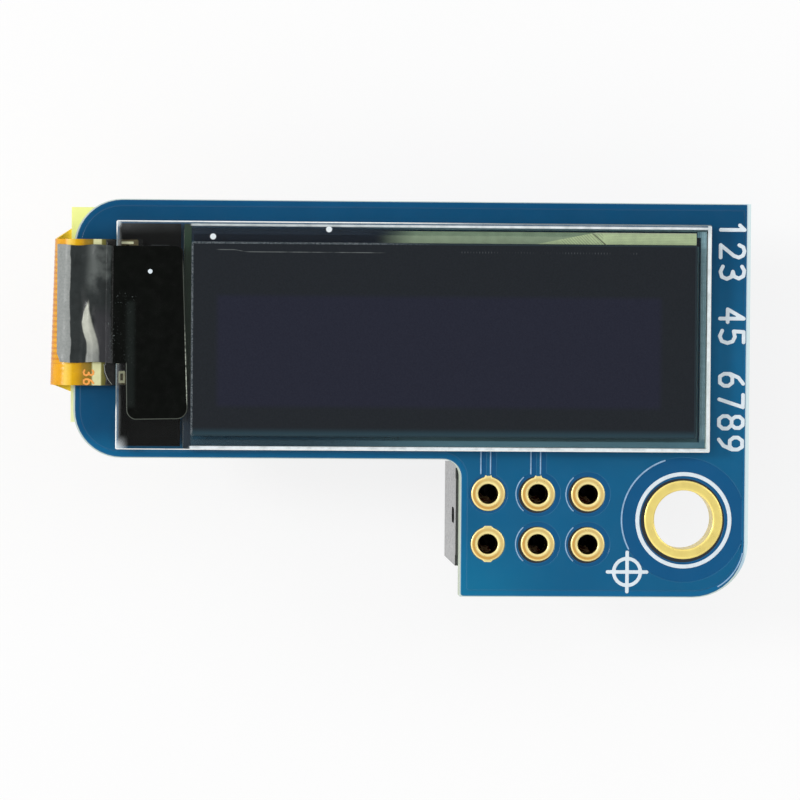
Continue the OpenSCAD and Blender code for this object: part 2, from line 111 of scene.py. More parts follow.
turn = Matrix.Identity(3)
for degrees, axis in CAMERA_TURNS:
    turn = turn @ Matrix.Rotation(math.radians(degrees), 3, axis)
turn.transpose()
camera = bpy.data.objects.new("camera", bpy.data.cameras.new("camera"))
bpy.context.scene.collection.objects.link(camera)
camera.data.sensor_width = 36
camera.data.lens = CAMERA_LENS
camera.data.clip_start = 0.02
camera.data.clip_end = 20
place = (CAMERA_AIM + turn @ Vector((0, 0, CAMERA_DISTANCE))) * MM
camera.matrix_world = Matrix.Translation(place) @ turn.to_4x4()
bpy.context.scene.camera = camera


# ---------------------------------------------------------------- materials

WHITE = (1, 1, 1, 1)


def rgb(red, green, blue):
    """A screen colour, 0 to 255, as the linear colour that shaders take."""
    linear = []
    for value in (red, green, blue):
        share = value / 255
        linear.append(share / 12.92 if share <= 0.04045 else ((share + 0.055) / 1.055) ** 2.4)
    return (*linear, 1)


class Graph:
    """A node tree, with a short call for each kind of node that the materials and the sky need."""

    def __init__(self, owner):
        owner.use_nodes = True
        self.tree = owner.node_tree
        self.tree.nodes.clear()

    def node(self, kind, **values):
        """A new node: lower-case names set its options, and the others its inputs."""
        made = self.tree.nodes.new("ShaderNode" + kind)
        for key, value in values.items():
            if key[0].islower():
                setattr(made, key, value)
            else:
                self.feed(made.inputs[key.replace("_", " ")], value)
        return made

    def feed(self, socket, value):
        if isinstance(value, bpy.types.NodeSocket):
            self.tree.links.new(value, socket)
        else:
            socket.default_value = value

    def fed(self, made, *values):
        """The first output of a node, once its inputs have the values, in their order."""
        for socket, value in zip(made.inputs, values):
            self.feed(socket, value)
        return made.outputs[0]

    def math(self, operation, first, second=0.0, third=0.0):
        return self.fed(self.node("Math", operation=operation), first, second, third)

    def plus(self, first, second):
        return self.math("ADD", first, second)

    def minus(self, first, second):
        return self.math("SUBTRACT", first, second)

    def times(self, first, *others):
        for other in others:
            first = self.math("MULTIPLY", first, other)
        return first

    def most(self, first, *others):
        for other in others:
            first = self.math("MAXIMUM", first, other)
        return first

    def wave(self, value, rate):
        return self.math("SINE", self.times(value, rate))

    def ramp(self, value, start, end, low=0.0, high=1.0, run="LINEAR"):
        """low where value is at start, high where it is at end."""
        return self.node("MapRange", interpolation_type=run, Value=value, From_Min=start,
                         From_Max=end, To_Min=low, To_Max=high).outputs["Result"]

    def rise(self, value, start, end, low=0.0, high=1.0):
        """The same, with a soft slope between."""
        return self.ramp(value, start, end, low, high, "SMOOTHSTEP")

    def blend(self, share, first, second):
        """A shader that goes from the first to the second."""
        both = self.node("MixShader")
        self.fed(both, share, first.outputs[0], second.outputs[0])
        return both

    def done(self, shader, kind="OutputMaterial"):
        self.node(kind, Surface=shader.outputs[0])


class Finish(Graph):
    """A node material. x, y and z are the surface's place, in millimetres."""

    def __init__(self, name):
        self.material = bpy.data.materials.new(name)
        super().__init__(self.material)
        place = self.node("TexCoord").outputs["Object"]
        scaled = self.node("VectorMath", operation="SCALE", Vector=place, Scale=1 / MM)
        self.point = scaled.outputs[0]
        self.x, self.y, self.z = self.node("SeparateXYZ", Vector=self.point).outputs

    def band(self, value, start, end, soft=0.02):
        """1 between start and end, 0 outside."""
        up = self.rise(value, start - soft / 2, start + soft / 2)
        down = self.rise(value, end + soft / 2, end - soft / 2)
        return self.times(up, down)

    def patch(self, x0, x1, y0, y1, soft=0.02):
        return self.times(self.band(self.x, x0, x1, soft), self.band(self.y, y0, y1, soft))

    def ring(self, x, y, inner, outer, soft=0.02):
        """1 between two radii round an upright axis."""
        side, up = self.minus(self.x, x), self.minus(self.y, y)
        square = self.plus(self.times(side, side), self.times(up, up))
        return self.band(self.math("SQRT", square), inner, outer, soft)

    def noise(self, size, detail=3.0, stretch=(1, 1, 1)):
        """Noise whose lumps are about size millimetres across."""
        place = self.node("VectorMath", operation="MULTIPLY")
        return self.node("TexNoise", Vector=self.fed(place, self.point, stretch), Scale=1 / size,
                         Detail=detail, Roughness=0.55).outputs["Fac"]

    def mix(self, share, first, second, blend="MIX"):
        return self.fed(self.node("MixRGB", blend_type=blend), share, first, second)

    def mix_number(self, share, first, second):
        return self.math("MULTIPLY_ADD", share, second - first, first)

    def layers(self, base, *covers):
        """base, with each (share, colour) laid over it in turn."""
        for share, colour in covers:
            base = self.mix(share, base, colour)
        return base

    def strip(self, value, stops, run="LINEAR"):
        """A colour that runs through stops, each (place, colour)."""
        first, last = stops[0][0], stops[-1][0]
        made = self.node("ValToRGB", Fac=self.ramp(value, first, last))
        made.color_ramp.interpolation = run
        ramp = made.color_ramp.elements
        while len(ramp) < len(stops):
            ramp.new(0.5)
        for element, (place, colour) in zip(ramp, stops):
            element.position = (place - first) / (last - first)
            element.color = colour
        return made.outputs["Color"]

    def course(self, value, stops):
        """A length that runs through stops, each (place, length)."""
        lengths = [length for _, length in stops]
        low, high = min(lengths), max(lengths)
        greys = [(place, ((length - low) / (high - low),) * 3 + (1,)) for place, length in stops]
        share = self.node("SeparateColor", Color=self.strip(value, greys, "CARDINAL")).outputs[0]
        return self.mix_number(share, low, high)

    def bump(self, height, depth, **more):
        """A normal from a height of 0 to 1, depth millimetres high."""
        return self.node("Bump", Height=height, Distance=depth * MM, **more).outputs["Normal"]

    def lumps(self, middle, spread, size, detail=3.0, stretch=(1, 1, 1)):
        """A number round middle, which changes by spread in lumps of that size."""
        low, high = middle - spread, middle + spread
        return self.ramp(self.noise(size, detail, stretch), 0.3, 0.7, low, high)

    def varied(self, colour, share, size, detail=3.0):
        """colour, made darker and lighter by up to share in lumps of that size."""
        made = self.node("VectorMath", operation="SCALE", Scale=self.lumps(1, share, size, detail))
        return self.fed(made, colour if isinstance(colour, bpy.types.NodeSocket) else colour[:3])

    def surface(self, colour, rough, grain=None, **more):
        """The finished material. grain is the size, detail and depth of its fine relief."""
        if grain:
            size, detail, depth = grain
            more["Normal"] = self.bump(self.noise(size, detail), depth)
        return self.done(self.node("BsdfPrincipled", Base_Color=colour, Roughness=rough, **more))

    def done(self, shader):
        super().done(shader)
        return self.material


def plain(name, colour, share, size, rough, depth=0.004, **more):
    """A finish of one colour with fine variation and a light grain, depth millimetres deep."""
    f = Finish(name)
    return f.surface(f.varied(colour, share, size, 4), f.lumps(rough, 0.06, size),
                     (size / 3, 3, depth), **more)


# ---------------------------------------------------------------- outlines and meshes


def circle(x, y, r, count=72, start=0.0, sweep=360.0):
    """Points on a circle, anticlockwise; a part of one where sweep is less than a full turn."""
    full = abs(sweep) >= 360
    steps = count if full else max(3, round(count * abs(sweep) / 360))
    angles = [math.radians(start + sweep * i / steps) for i in range(steps + (0 if full else 1))]
    return [(x + r * math.cos(a), y + r * math.sin(a)) for a in angles]


def rounded(corners, step=9):
    """An outline through corners (x, y, radius), with each corner rounded."""
    points = []
    for i, (x, y, r) in enumerate(corners):
        here = Vector((x, y))
        back = (Vector(corners[i - 1][:2]) - here).normalized()
        ahead = (Vector(corners[(i + 1) % len(corners)][:2]) - here).normalized()
        if r <= 0:
            points.append((x, y))
            continue
        half = back.angle(ahead) / 2
        centre = here + (back + ahead).normalized() * r / math.sin(half)
        first = here + back * r / math.tan(half) - centre
        last = here + ahead * r / math.tan(half) - centre
        sweep = math.degrees(last.angle_signed(first))
        start = math.degrees(math.atan2(first.y, first.x))
        points += circle(*centre, r, 360 / step, start, sweep)
    return points


def box_outline(x0, x1, y0, y1, r=0.0):
    return rounded([(x0, y0, r), (x1, y0, r), (x1, y1, r), (x0, y1, r)])


def board_outline(inset, left=None, right=None):
    """The board's L, set in from its edges, and by its own measures at the left and the right."""
    left = inset if left is None else left
    right = inset if right is None else right
    x0, x1 = BOARD_X0 + left, BOARD_X1 - right
    y0, y1 = BOARD_Y0 + inset, BOARD_Y1 - inset
    return rounded([
        (x1, y0, RIGHT_CORNER_R - max(inset, 0.9 * right)),
        (x1, y1, 0.06),
        (x0, y1, LEFT_CORNER_R - inset),
        (x0, NOTCH_Y + inset, LEFT_CORNER_R - inset),
        (FOOT_LEFT + inset, NOTCH_Y + inset, NOTCH_R + inset),
        (FOOT_LEFT + inset, y0, 0.15),
    ])


def inward(loop, distance):
    """The loop moved to its left, which is inward for an anticlockwise one."""
    moved = []
    for i, point in enumerate(loop):
        here = Vector(point)
        ahead = (Vector(loop[(i + 1) % len(loop)]) - here).normalized()
        back = (here - Vector(loop[i - 1])).normalized()
        left_ahead, left_back = Vector((-ahead.y, ahead.x)), Vector((-back.y, back.x))
        mitre = (left_ahead + left_back) / max(0.3, 1 + left_ahead.dot(left_back))
        moved.append(tuple(here + mitre * distance))
    return moved


PEN_POINTS = 24


def ribbon(path, width):
    """The outline of a line drawn along path with a round pen."""
    sides = []
    for points in (path, path[::-1]):
        side = []
        for i, point in enumerate(points):
            here = Vector(point)
            came = here - Vector(points[i - 1])
            ahead = (Vector(points[i + 1]) - here if i + 1 < len(points) else came).normalized()
            back = (came if i else ahead).normalized()
            right_ahead, right_back = Vector((ahead.y, -ahead.x)), Vector((back.y, -back.x))
            mitre = (right_ahead + right_back) / max(0.4, 1 + right_ahead.dot(right_back))
            side.append(tuple(here + mitre * width / 2))
        sides += side
        end = Vector(points[-1])
        turned = end - Vector(points[-2])
        angle = math.degrees(math.atan2(turned.y, turned.x))
        sides += circle(*end, width / 2, PEN_POINTS, angle - 90, 180)[1:-1]
    return sides


NO_AREA = 1e-9


class Build:
    """Points and faces of one piece, each face with the number of its material."""

    def __init__(self):
        self.points, self.faces, self.marks = [], [], []

    def add(self, points, faces, mark=0, flip=False):
        first = len(self.points)
        self.points += points
        for face in faces:
            face = [first + i for i in face]
            self.faces.append(face[::-1] if flip else face)
            self.marks.append(mark)

    def plate(self, loops, z0, z1, ease=(0.0, 0.0), mark=0, edge=None, steps=3):
        """A flat plate from z0 to z1, which may lie below z0. The first loop is its outline and the
        rest are holes, all anticlockwise. Its z1 edges are rounded over by ease (across, up). Its
        sides have the material edge, or else mark."""
        edge = mark if edge is None else edge
        up = 1 if z1 > z0 else -1
        across, rise = ease
        shapes = [loops[0]] + [loop[::-1] for loop in loops[1:]]
        levels = [(0, z0)]
        if across > 0:
            for k in range(steps + 1):
                a = math.pi / 2 * k / steps
                levels.append((across * (1 - math.cos(a)), z1 - up * rise * (1 - math.sin(a))))
        else:
            levels.append((0, z1))
        rings, starts = [], []
        for shape in shapes:
            starts.append(len(rings))
            for offset, z in levels:
                moved = inward(shape, offset) if offset else shape
                rings.append([(x, y, z) for x, y in moved])
        for shape, start in zip(shapes, starts):
            count, points, faces = len(shape), [], []
            for ring in rings[start:start + len(levels)]:
                points += ring
            for level in range(len(levels) - 1):
                for i in range(count):
                    j = (i + 1) % count
                    a, b = level * count, (level + 1) * count
                    faces.append([a + i, a + j, b + j, b + i])
            self.add(points, faces, edge, flip=up < 0)
        for level, turned in ((len(levels) - 1, up < 0), (0, up > 0)):
            caps = [rings[start + level] for start in starts]
            flat = [point for cap in caps for point in cap]
            faces = []
            for tri in tessellate_polygon([[Vector(point) for point in cap] for cap in caps]):
                a, b, c = (Vector(flat[i][:2]) for i in tri)
                area = (b - a).cross(c - a)
                if abs(area) > NO_AREA:
                    faces.append(list(tri) if area > 0 else list(tri)[::-1])
            self.add(flat, faces, mark, flip=turned)
        return self

    def sheet(self, grid, thickness, mark=0):
        """A closed sheet: grid is its outer side, rows of points, and it goes thickness inward."""
        rows, cols = len(grid), len(grid[0])
        outer = [Vector(p) for row in grid for p in row]
        inner = []
        for i in range(rows):
            for j in range(cols):
                along = outer[min(i + 1, rows - 1) * cols + j] - outer[max(i - 1, 0) * cols + j]
                across = outer[i * cols + min(j + 1, cols - 1)] - outer[i * cols + max(j - 1, 0)]
                inner.append(outer[i * cols + j] - along.cross(across).normalized() * thickness)
        faces, lower = [], rows * cols
        for i in range(rows - 1):
            for j in range(cols - 1):
                a, b = i * cols + j, (i + 1) * cols + j
                c, d = b + 1, a + 1
                faces += [[a, b, c, d], [lower + d, lower + c, lower + b, lower + a]]
        rim = [i * cols for i in range(rows)] + [(rows - 1) * cols + j for j in range(1, cols)]
        rim += [i * cols + cols - 1 for i in range(rows - 2, -1, -1)] + list(range(cols - 2, 0, -1))
        for a, b in zip(rim, rim[1:] + rim[:1]):
            faces.append([a, lower + a, lower + b, b])
        self.add([tuple(p) for p in outer + inner], faces, mark)
        return self

    def piece(self, name, slot, materials, stands_for=(), smooth=35):
        """Makes the mesh object, which rides on the part's one body."""
        mesh = bpy.data.meshes.new(name)
        mesh.from_pydata([Vector(p) * MM for p in self.points], [], self.faces)
        for material in materials:
            mesh.materials.append(material)
        for face, mark in zip(mesh.polygons, self.marks):
            face.material_index = mark
            face.use_smooth = True
        mesh.set_sharp_from_angle(angle=math.radians(smooth))
        made = bpy.data.objects.new(name, mesh)
        bpy.context.scene.collection.objects.link(made)
        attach(made, "root")
        if stands_for:
            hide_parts(*stands_for)
        return made


def dress(material, *nodes):
    """Gives CAD nodes their finish."""
    for name in nodes:
        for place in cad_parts[name].material_slots:
            place.material = material


# ---------------------------------------------------------------- circuit board

MASK_T = 0.02
POUR_T = 0.04
PRINT_T = 0.055
POUR_INSET = 0.32
MASK_INSET, MASK_LEFT, MASK_RIGHT = 0.04, 0.08, 0.2
FIELD_EASE = (0.03, 0.015)
PIN_CLEAR_R = 1.12
PIN_5_CLEAR_R = 0.98
PIN_OPEN_R = 0.93
PIN_OPEN_SHIFT = (-0.07, -0.03)
MOUNT_CLEAR_R = 3.15
MOUNT_OPEN_R = 2.13
MOUNT_OPEN_SHIFT = (-0.05, -0.03)
MOUNT_RING = (2.45, 2.25)
TRACE_W = 0.25
TRACE_GAP = 0.26
TRACE_TOP = 4.4
EASE = (0.05, 0.02)
POUR_TOP = 15.73
BLUE = "solder_mask_blue"
INK = "white_adhesive"


def board_material():
    """Woven glass-fibre laminate: pale at the cut edges, dark where the mask leaves it bare, gold
    in the mounting hole."""
    f = Finish("board_laminate")
    weave = f.noise(0.25, 2, (0.3, 0.3, 6))
    right = f.mix(f.rise(f.x, BOARD_X1 - 0.22, BOARD_X1 - 0.1),
                  rgb(132, 172, 204), rgb(214, 233, 236))
    pale = f.mix(f.rise(f.x, 2.6, 3.0), f.mix(weave, rgb(150, 164, 150), rgb(190, 200, 186)), right)
    plies = f.strip(f.z, [(0, rgb(150, 170, 150)), (0.35, rgb(214, 222, 196)),
                          (0.8, rgb(186, 200, 170)), (1.2, rgb(218, 226, 204)),
                          (1.6, rgb(206, 226, 228))])
    bare = f.varied(rgb(16, 26, 34), 0.3, 0.15)
    by_pins = f.times(f.patch(FOOT_LEFT + 0.3, 2.5, -2.6, 2.6), f.rise(f.z, 1.57, 1.59))
    under = f.times(f.patch(PANEL_X0 - 1, 2.9, PANEL_Y0 - 4, PANEL_Y1), f.rise(f.z, 0.02, 0.0))
    wall = f.rise(f.ring(0, 0, -1, HOLE_R + 0.03), 0, 1)
    gilt = f.varied(rgb(244, 230, 176), 0.08, 0.3)
    colour = f.layers(f.mix(0.5, pale, plies), (by_pins, bare), (under, bare), (wall, gilt))
    return f.surface(colour, f.lumps(0.5, 0.1, 0.2), Metallic=f.times(wall, 0.3),
                     Normal=f.bump(weave, 0.012))


def mask_material(name, field):
    """Glossy blue lacquer with faint orange peel, with painted shade that makes it greener and
    darker towards its upper left, and greener at the foot's lower left corner."""
    f = Finish(name)
    colour = f.varied(field, 0.035, 2.5, 2)
    # painted shade: darker and greener towards the left above the lowest strip, and towards the top
    shade = f.most(f.times(f.rise(f.x, -8, -24), f.rise(f.y, 3.4, 4.6)), f.rise(f.y, 8, 15.6))
    shaded = f.mix(1, colour, rgb(128, 190, 203), "MULTIPLY")
    corner = f.times(f.rise(f.x, -5, FOOT_LEFT), f.rise(f.y, 0.5, BOARD_Y0), 0.5)
    colour = f.layers(colour, (f.times(shade, 0.8), shaded), (corner, rgb(16, 122, 160)))
    peel = f.bump(f.noise(0.5, 3), 0.005, Normal=f.bump(f.noise(0.05, 2), 0.0008))
    return f.surface(colour, f.lumps(0.22, 0.04, 0.8), Specular_IOR_Level=0.32, Normal=peel)


def gold_material(name="gold_lands", deep=False):
    """Smooth gold flash over copper. The pin holes' plating, which is deep, is painted dark inside
    as shade, and its lands have a pale rim of painted highlight and a warm ring of painted shade,
    stronger at the lower left."""
    f = Finish(name)
    tone = f.varied(rgb(255, 232, 134), 0.05, 0.5, 1)
    if deep:
        # painted highlight and shade of the domed lands: a pale rim, and a warm ring that is
        # stronger at the lower left
        for x, y in PINS.values():
            lower_left = f.rise(f.plus(f.x, f.y), x + y + 0.7, x + y - 0.5)
            warm = f.math("MULTIPLY_ADD", lower_left, 0.45, 0.4)
            tone = f.layers(tone, (f.ring(x, y, 0.4, 0.95), rgb(255, 236, 160)),
                            (f.times(f.ring(x, y, 0.65, 0.79, 0.06), warm), rgb(224, 164, 70)))
        # painted shade inside the deep barrels
        tone = f.mix(f.band(f.z, 0.1, BOARD_Z1 - 0.03, 0.08), tone, rgb(36, 18, 8))
    return f.surface(tone, f.lumps(0.3, 0.03, 0.3), (0.5, 2, 0.002), Metallic=0.4)


def print_material():
    """White screen ink, a little thin in places."""
    f = Finish("screen_print")
    thin = f.rise(f.noise(0.09, 4), 0.66, 0.78)
    colour = f.mix(f.times(thin, 0.55), f.varied(rgb(218, 229, 236), 0.05, 0.3), rgb(150, 180, 205))
    return f.surface(colour, 0.6, (0.06, 3, 0.006))


field_blue = mask_material("mask_over_laminate", rgb(15, 84, 130))
pour_blue = mask_material("mask_over_copper", rgb(16, 92, 133))
rim_blue = mask_material("mask_at_rim", rgb(14, 98, 143))
back_blue = mask_material("back_mask_over_laminate", rgb(17, 80, 128))
back_pour = mask_material("back_mask_over_copper", rgb(21, 96, 140))
# painted highlight for the pour's edges that face +X, where the mask also runs thin
edge_highlight = plain("mask_edge_highlight", rgb(146, 180, 212), 0.15, 0.4, 0.3)
gold = gold_material()
hole_gold = gold_material("gold_holes", deep=True)
white_ink = print_material()
dress(board_material(), "circuit_board")


def keyhole(x, y, r, half, top):
    """A pad's clearance, open upward into the slot that its trace runs in."""
    rise = math.degrees(math.acos(half / r))
    arc = circle(x, y, r, 72, 180 - rise, 180 + 2 * rise)
    return [(x - half, top)] + arc + [(x + half, top)]


def pin_openings():
    """The mask's openings round the pins: wide and off centre at pins 1 to 4."""
    loops = []
    for n, (x, y) in PINS.items():
        r, (dx, dy) = (PIN_OPEN_R, PIN_OPEN_SHIFT) if n < 5 else (TOP_LAND_R + 0.02, (0, 0))
        loops.append(circle(x + dx, y + dy, r, 60))
    return loops


def bitten(loop, x, y, r):
    """The loop with the part inside a circle at its right side cut away."""
    edge = max(u for u, v in loop)
    half = math.degrees(math.acos((edge - x) / r))
    arc = circle(x, y, r, 120, -half, -(360 - 2 * half))
    points = []
    for (u, v), (_, ahead) in zip(loop, loop[1:] + loop[:1]):
        if math.hypot(u - x, v - y) > r:
            points.append((u, v))
            if abs(u - edge) < 1e-6 and v < y and ahead > y:
                points += arc
    return points


def ring_plate(build, x, y, radii, z0, z1, ease, count=120, **more):
    """A flat ring, or a disc where radii has one radius."""
    return build.plate([circle(x, y, r, count) for r in radii], z0, z1, ease, **more)


def make_board_top():
    """The mask's rim, its sunk field, the raised copper pour with its traces, and pale lines of
    painted highlight along the pour's edges that face +X, where the mask also runs thin."""
    z, pour_z, line_z = BOARD_Z1, BOARD_Z1 + MASK_T / 2, BOARD_Z1 + POUR_T + 0.003
    inner = board_outline(POUR_INSET)
    rim = [board_outline(MASK_INSET, MASK_LEFT, MASK_RIGHT), board_outline(POUR_INSET + 0.02)]
    Build().plate(rim, z, z + MASK_T, EASE).piece("top_mask_rim", BLUE, [rim_blue])
    field = [inner, *pin_openings(), circle(*MOUNT_OPEN_SHIFT, MOUNT_OPEN_R, 96)]
    Build().plate(field, z, z + MASK_T, FIELD_EASE).piece("top_mask_field", BLUE, [field_blue])
    half = TRACE_W / 2 + TRACE_GAP
    holes = []
    for n, (x, y) in PINS.items():
        if n in (3, 5):
            holes.append(keyhole(x, y, PIN_5_CLEAR_R if n == 5 else PIN_CLEAR_R, half, TRACE_TOP))
        elif n == 6:
            holes.append(circle(x, y, PIN_LAND_R + 0.05, 60))
        else:
            holes.append(circle(x, y, PIN_CLEAR_R))
    pour, lines = Build(), Build()
    pour.plate([bitten(inner, 0, 0, MOUNT_CLEAR_R), *holes], pour_z, z + POUR_T, EASE)

    # the pale lines are painted highlights, drawn only on edges that face +X
    def line(path, width):
        lines.plate([ribbon(path, width)], z, line_z)

    for n, (x, y) in PINS.items():
        if n < 5:
            line(circle(x, y, PIN_CLEAR_R + 0.01, 90, 132, 96), 0.055)
        if n in (3, 5):
            trace = [(x, y + PIN_LAND_R + 0.12), (x, TRACE_TOP - 0.1)]
            pour.plate([ribbon(trace, TRACE_W)], pour_z, z + POUR_T, EASE)
            for side in (-half, TRACE_W / 2 - 0.02):
                line([(x + side, y + PIN_LAND_R + 0.2), (x + side, TRACE_TOP - 0.2)], 0.06)
    line(circle(0, 0, MOUNT_CLEAR_R + 0.01, 180, 108, 100), 0.075)
    r = RIGHT_CORNER_R
    line(circle(BOARD_X1 - r, BOARD_Y0 + r, r - POUR_INSET + 0.1, 90, -60, 48), 0.06)
    pour.piece("top_mask_pour", BLUE, [pour_blue])
    lines.piece("top_mask_highlights", BLUE, [edge_highlight])


def land_outline(x, y, n):
    """A pin's ring land with its neck or tabs, as in the CAD."""
    reach, half = PIN_LAND_R + NECK_REACH, {3: NECK_W, 5: NECK_W, 6: TAB_W}.get(n, 0) / 2
    points = []
    for u, v in circle(x, y, TOP_LAND_R, 90):
        near = abs(u - x) < half
        if near and v > y:
            v = y + reach
        elif near and v < y and n == 6:
            v = y - reach
        points.append((u, v))
    return points


def make_plating():
    """The plated holes, with the eased edges and domed lands that plating leaves."""
    z = BOARD_Z1
    for n, (x, y) in PINS.items():
        made = Build()
        hole = circle(x, y, PIN_HOLE_R, 60)
        made.plate([land_outline(x, y, n), hole], z - 0.01, z + COPPER_T, (0.13, 0.05), steps=6)
        made.plate([circle(x, y, PIN_LAND_R), hole], 0.01, -COPPER_T, (0.06, 0.03))
        made.plate([circle(x, y, PIN_HOLE_R + COPPER_T, 60), hole], -0.01, z + 0.01)
        made.piece("plated_hole_%d" % n, "gold_plate", [hole_gold], ["pin_hole_plating_%d" % n],
                   smooth=60)
    made = Build()
    for start, end in ((z, z + COPPER_T), (0, -COPPER_T)):
        ring_plate(made, 0, 0, (MOUNT_LAND_R, HOLE_R), start, end, (0.14, 0.045), steps=6)
    made.piece("mounting_lands", "gold_plate", [gold], ["mounting_hole_plating"], smooth=50)


def pen_distance(x, y, strokes):
    """Distance from a point to the nearest stroke."""
    nearest = math.inf
    for stroke in strokes:
        for (ax, ay), (bx, by) in zip(stroke, stroke[1:]):
            dx, dy = bx - ax, by - ay
            along = ((x - ax) * dx + (y - ay) * dy) / (dx * dx + dy * dy)
            along = max(0, min(1, along))
            nearest = min(nearest, math.hypot(x - ax - along * dx, y - ay - along * dy))
    return nearest


def drawn(strokes, pen, step=0.03):
    """Outlines of a figure drawn with a round pen, the outer one first and then its holes."""
    flat = [point for stroke in strokes for point in stroke]
    x0, y0 = (min(p[k] for p in flat) - pen for k in (0, 1))
    cols, rows = (int((max(p[k] for p in flat) + pen - low) / step) + 2
                  for k, low in ((0, x0), (1, y0)))
    level = [[pen_distance(x0 + i * step, y0 + j * step, strokes) - pen / 2 for i in range(cols)]
             for j in range(rows)]
    ahead, place = {}, {}
    for j in range(rows - 1):
        for i in range(cols - 1):
            corners = [(i, j), (i + 1, j), (i + 1, j + 1), (i, j + 1)]
            values = [level[v][u] for u, v in corners]
            if min(values) >= 0 or max(values) < 0:
                continue
            crossings = []
            for k in range(4):
                a, b, va, vb = corners[k - 4], corners[k - 3], values[k - 4], values[k - 3]
                if (va < 0) != (vb < 0):
                    key = (min(a, b), max(a, b))
                    share = va / (va - vb)
                    place[key] = (x0 + step * (a[0] + (b[0] - a[0]) * share),
                                  y0 + step * (a[1] + (b[1] - a[1]) * share))
                    crossings.append((va < 0, key))
            for k, (leaving, key) in enumerate(crossings):
                if leaving:
                    ahead[key] = crossings[k - 1][1]
    loops = []
    while ahead:
        key = next(iter(ahead))
        loop = []
        while key in ahead:
            loop.append(place[key])
            key = ahead.pop(key)
        loops.append(thinned(loop, step * 0.35))

    def area(loop):
        return sum(a[0] * b[1] - b[0] * a[1] for a, b in zip(loop, loop[1:] + loop[:1])) / 2

    loops.sort(key=area, reverse=True)
    return [loop if area(loop) > 0 else loop[::-1] for loop in loops]


def thinned(loop, least):
    """The loop without the points that lie closer together than least."""
    kept = []
    for point in loop:
        if not kept or math.dist(point, kept[-1]) > least:
            kept.append(point)
    if math.dist(kept[0], kept[-1]) <= least:
        kept.pop()
    return kept


STROKES = {
    "1": [[(0.08, 0.8), (0.3, 1), (0.3, 0)]],
    "2": [[(0, 0.78), (0.1, 0.95), (0.3, 1), (0.5, 0.94), (0.6, 0.76), (0.52, 0.56), (0, 0),
           (0.6, 0)]],
    "3": [[(0, 0.9), (0.2, 1), (0.46, 0.96), (0.58, 0.77), (0.48, 0.58), (0.25, 0.52), (0.5, 0.46),
           (0.6, 0.27), (0.5, 0.06), (0.25, 0), (0, 0.1)]],
    "4": [[(0.45, 0), (0.45, 1), (0, 0.32), (0.62, 0.32)]],
    "5": [[(0.56, 1), (0.06, 1), (0.03, 0.58), (0.3, 0.63), (0.52, 0.54), (0.6, 0.32), (0.5, 0.08),
           (0.26, 0), (0, 0.1)]],
    "6": [[(0.5, 1), (0.2, 0.8), (0.02, 0.45), (0.02, 0.2), (0.15, 0.02), (0.45, 0.02), (0.6, 0.2),
           (0.6, 0.38), (0.45, 0.54), (0.16, 0.54), (0.02, 0.4)]],
    "7": [[(0, 1), (0.6, 1), (0.22, 0)]],
    "8": [[(0.17, 0.53), (0.03, 0.68), (0.03, 0.86), (0.17, 1), (0.43, 1), (0.57, 0.86),
           (0.57, 0.68), (0.43, 0.53), (0.17, 0.53), (0, 0.36), (0, 0.16), (0.15, 0), (0.45, 0),
           (0.6, 0.16), (0.6, 0.36), (0.43, 0.53)]],
    "9": [[(0.1, 0), (0.4, 0.2), (0.58, 0.55), (0.58, 0.8), (0.45, 0.98), (0.15, 0.98), (0, 0.8),
           (0, 0.62), (0.15, 0.46), (0.44, 0.46), (0.58, 0.6)]],
}
DIGIT_SLIM = 0.86


def numbers(build, text, x, y, height, advance, pen, *plate):
    """Plain digits that read downward, with their feet towards -X, from (x, y) on."""
    for at, digit in enumerate(text):
        top = y - at * advance
        strokes = [[(x + v * height, top - u * height * DIGIT_SLIM) for u, v in stroke]
                   for stroke in STROKES.get(digit, ())]
        if strokes:
            build.plate(drawn(strokes, pen), *plate)


def make_print():
    """The top's ink: digits down the right side, a ring at the mounting hole, and a cross mark."""
    plate = (BOARD_Z1 + MASK_T / 2, BOARD_Z1 + PRINT_T, (0.03, 0.012))
    ink = Build()
    numbers(ink, "123 45 6789", 1.76, 15.05, 1.22, 1.085, 0.19, *plate)
    ring_plate(ink, 0, -0.02, MOUNT_RING, *plate)
    x, y, r, reach = -2.85, -2.66, 0.68, 1.0
    around = [(x + u, y + v) for u, v in circle(0, 0, r, 40)]
    arms = [[(x - reach, y), (x + reach, y)], [(x, y - reach), (x, y + reach)]]
    ink.plate(drawn([around + around[:1]] + arms, 0.18), *plate)
    ink.piece("top_print", INK, [white_ink])


CHIP_X = (-21.63, -18.03)
CHIP_Y = [10.34 + 1.75 * k for k in (2, 1, 0, -1, -2)]
VIAS = ((-13.6, 14.6), (-13.6, 12.2), (-9.0, 14.9), (-4.1, 14.9), (-27.5, 4.4), (-20.0, 4.6),
        (-16.9, 4.6), (1.6, 6.2), (1.6, 9.8), (-1.4, 13.2), (-29.4, 15.0), (-19.8, 15.3),
        (0.2, 4.2))


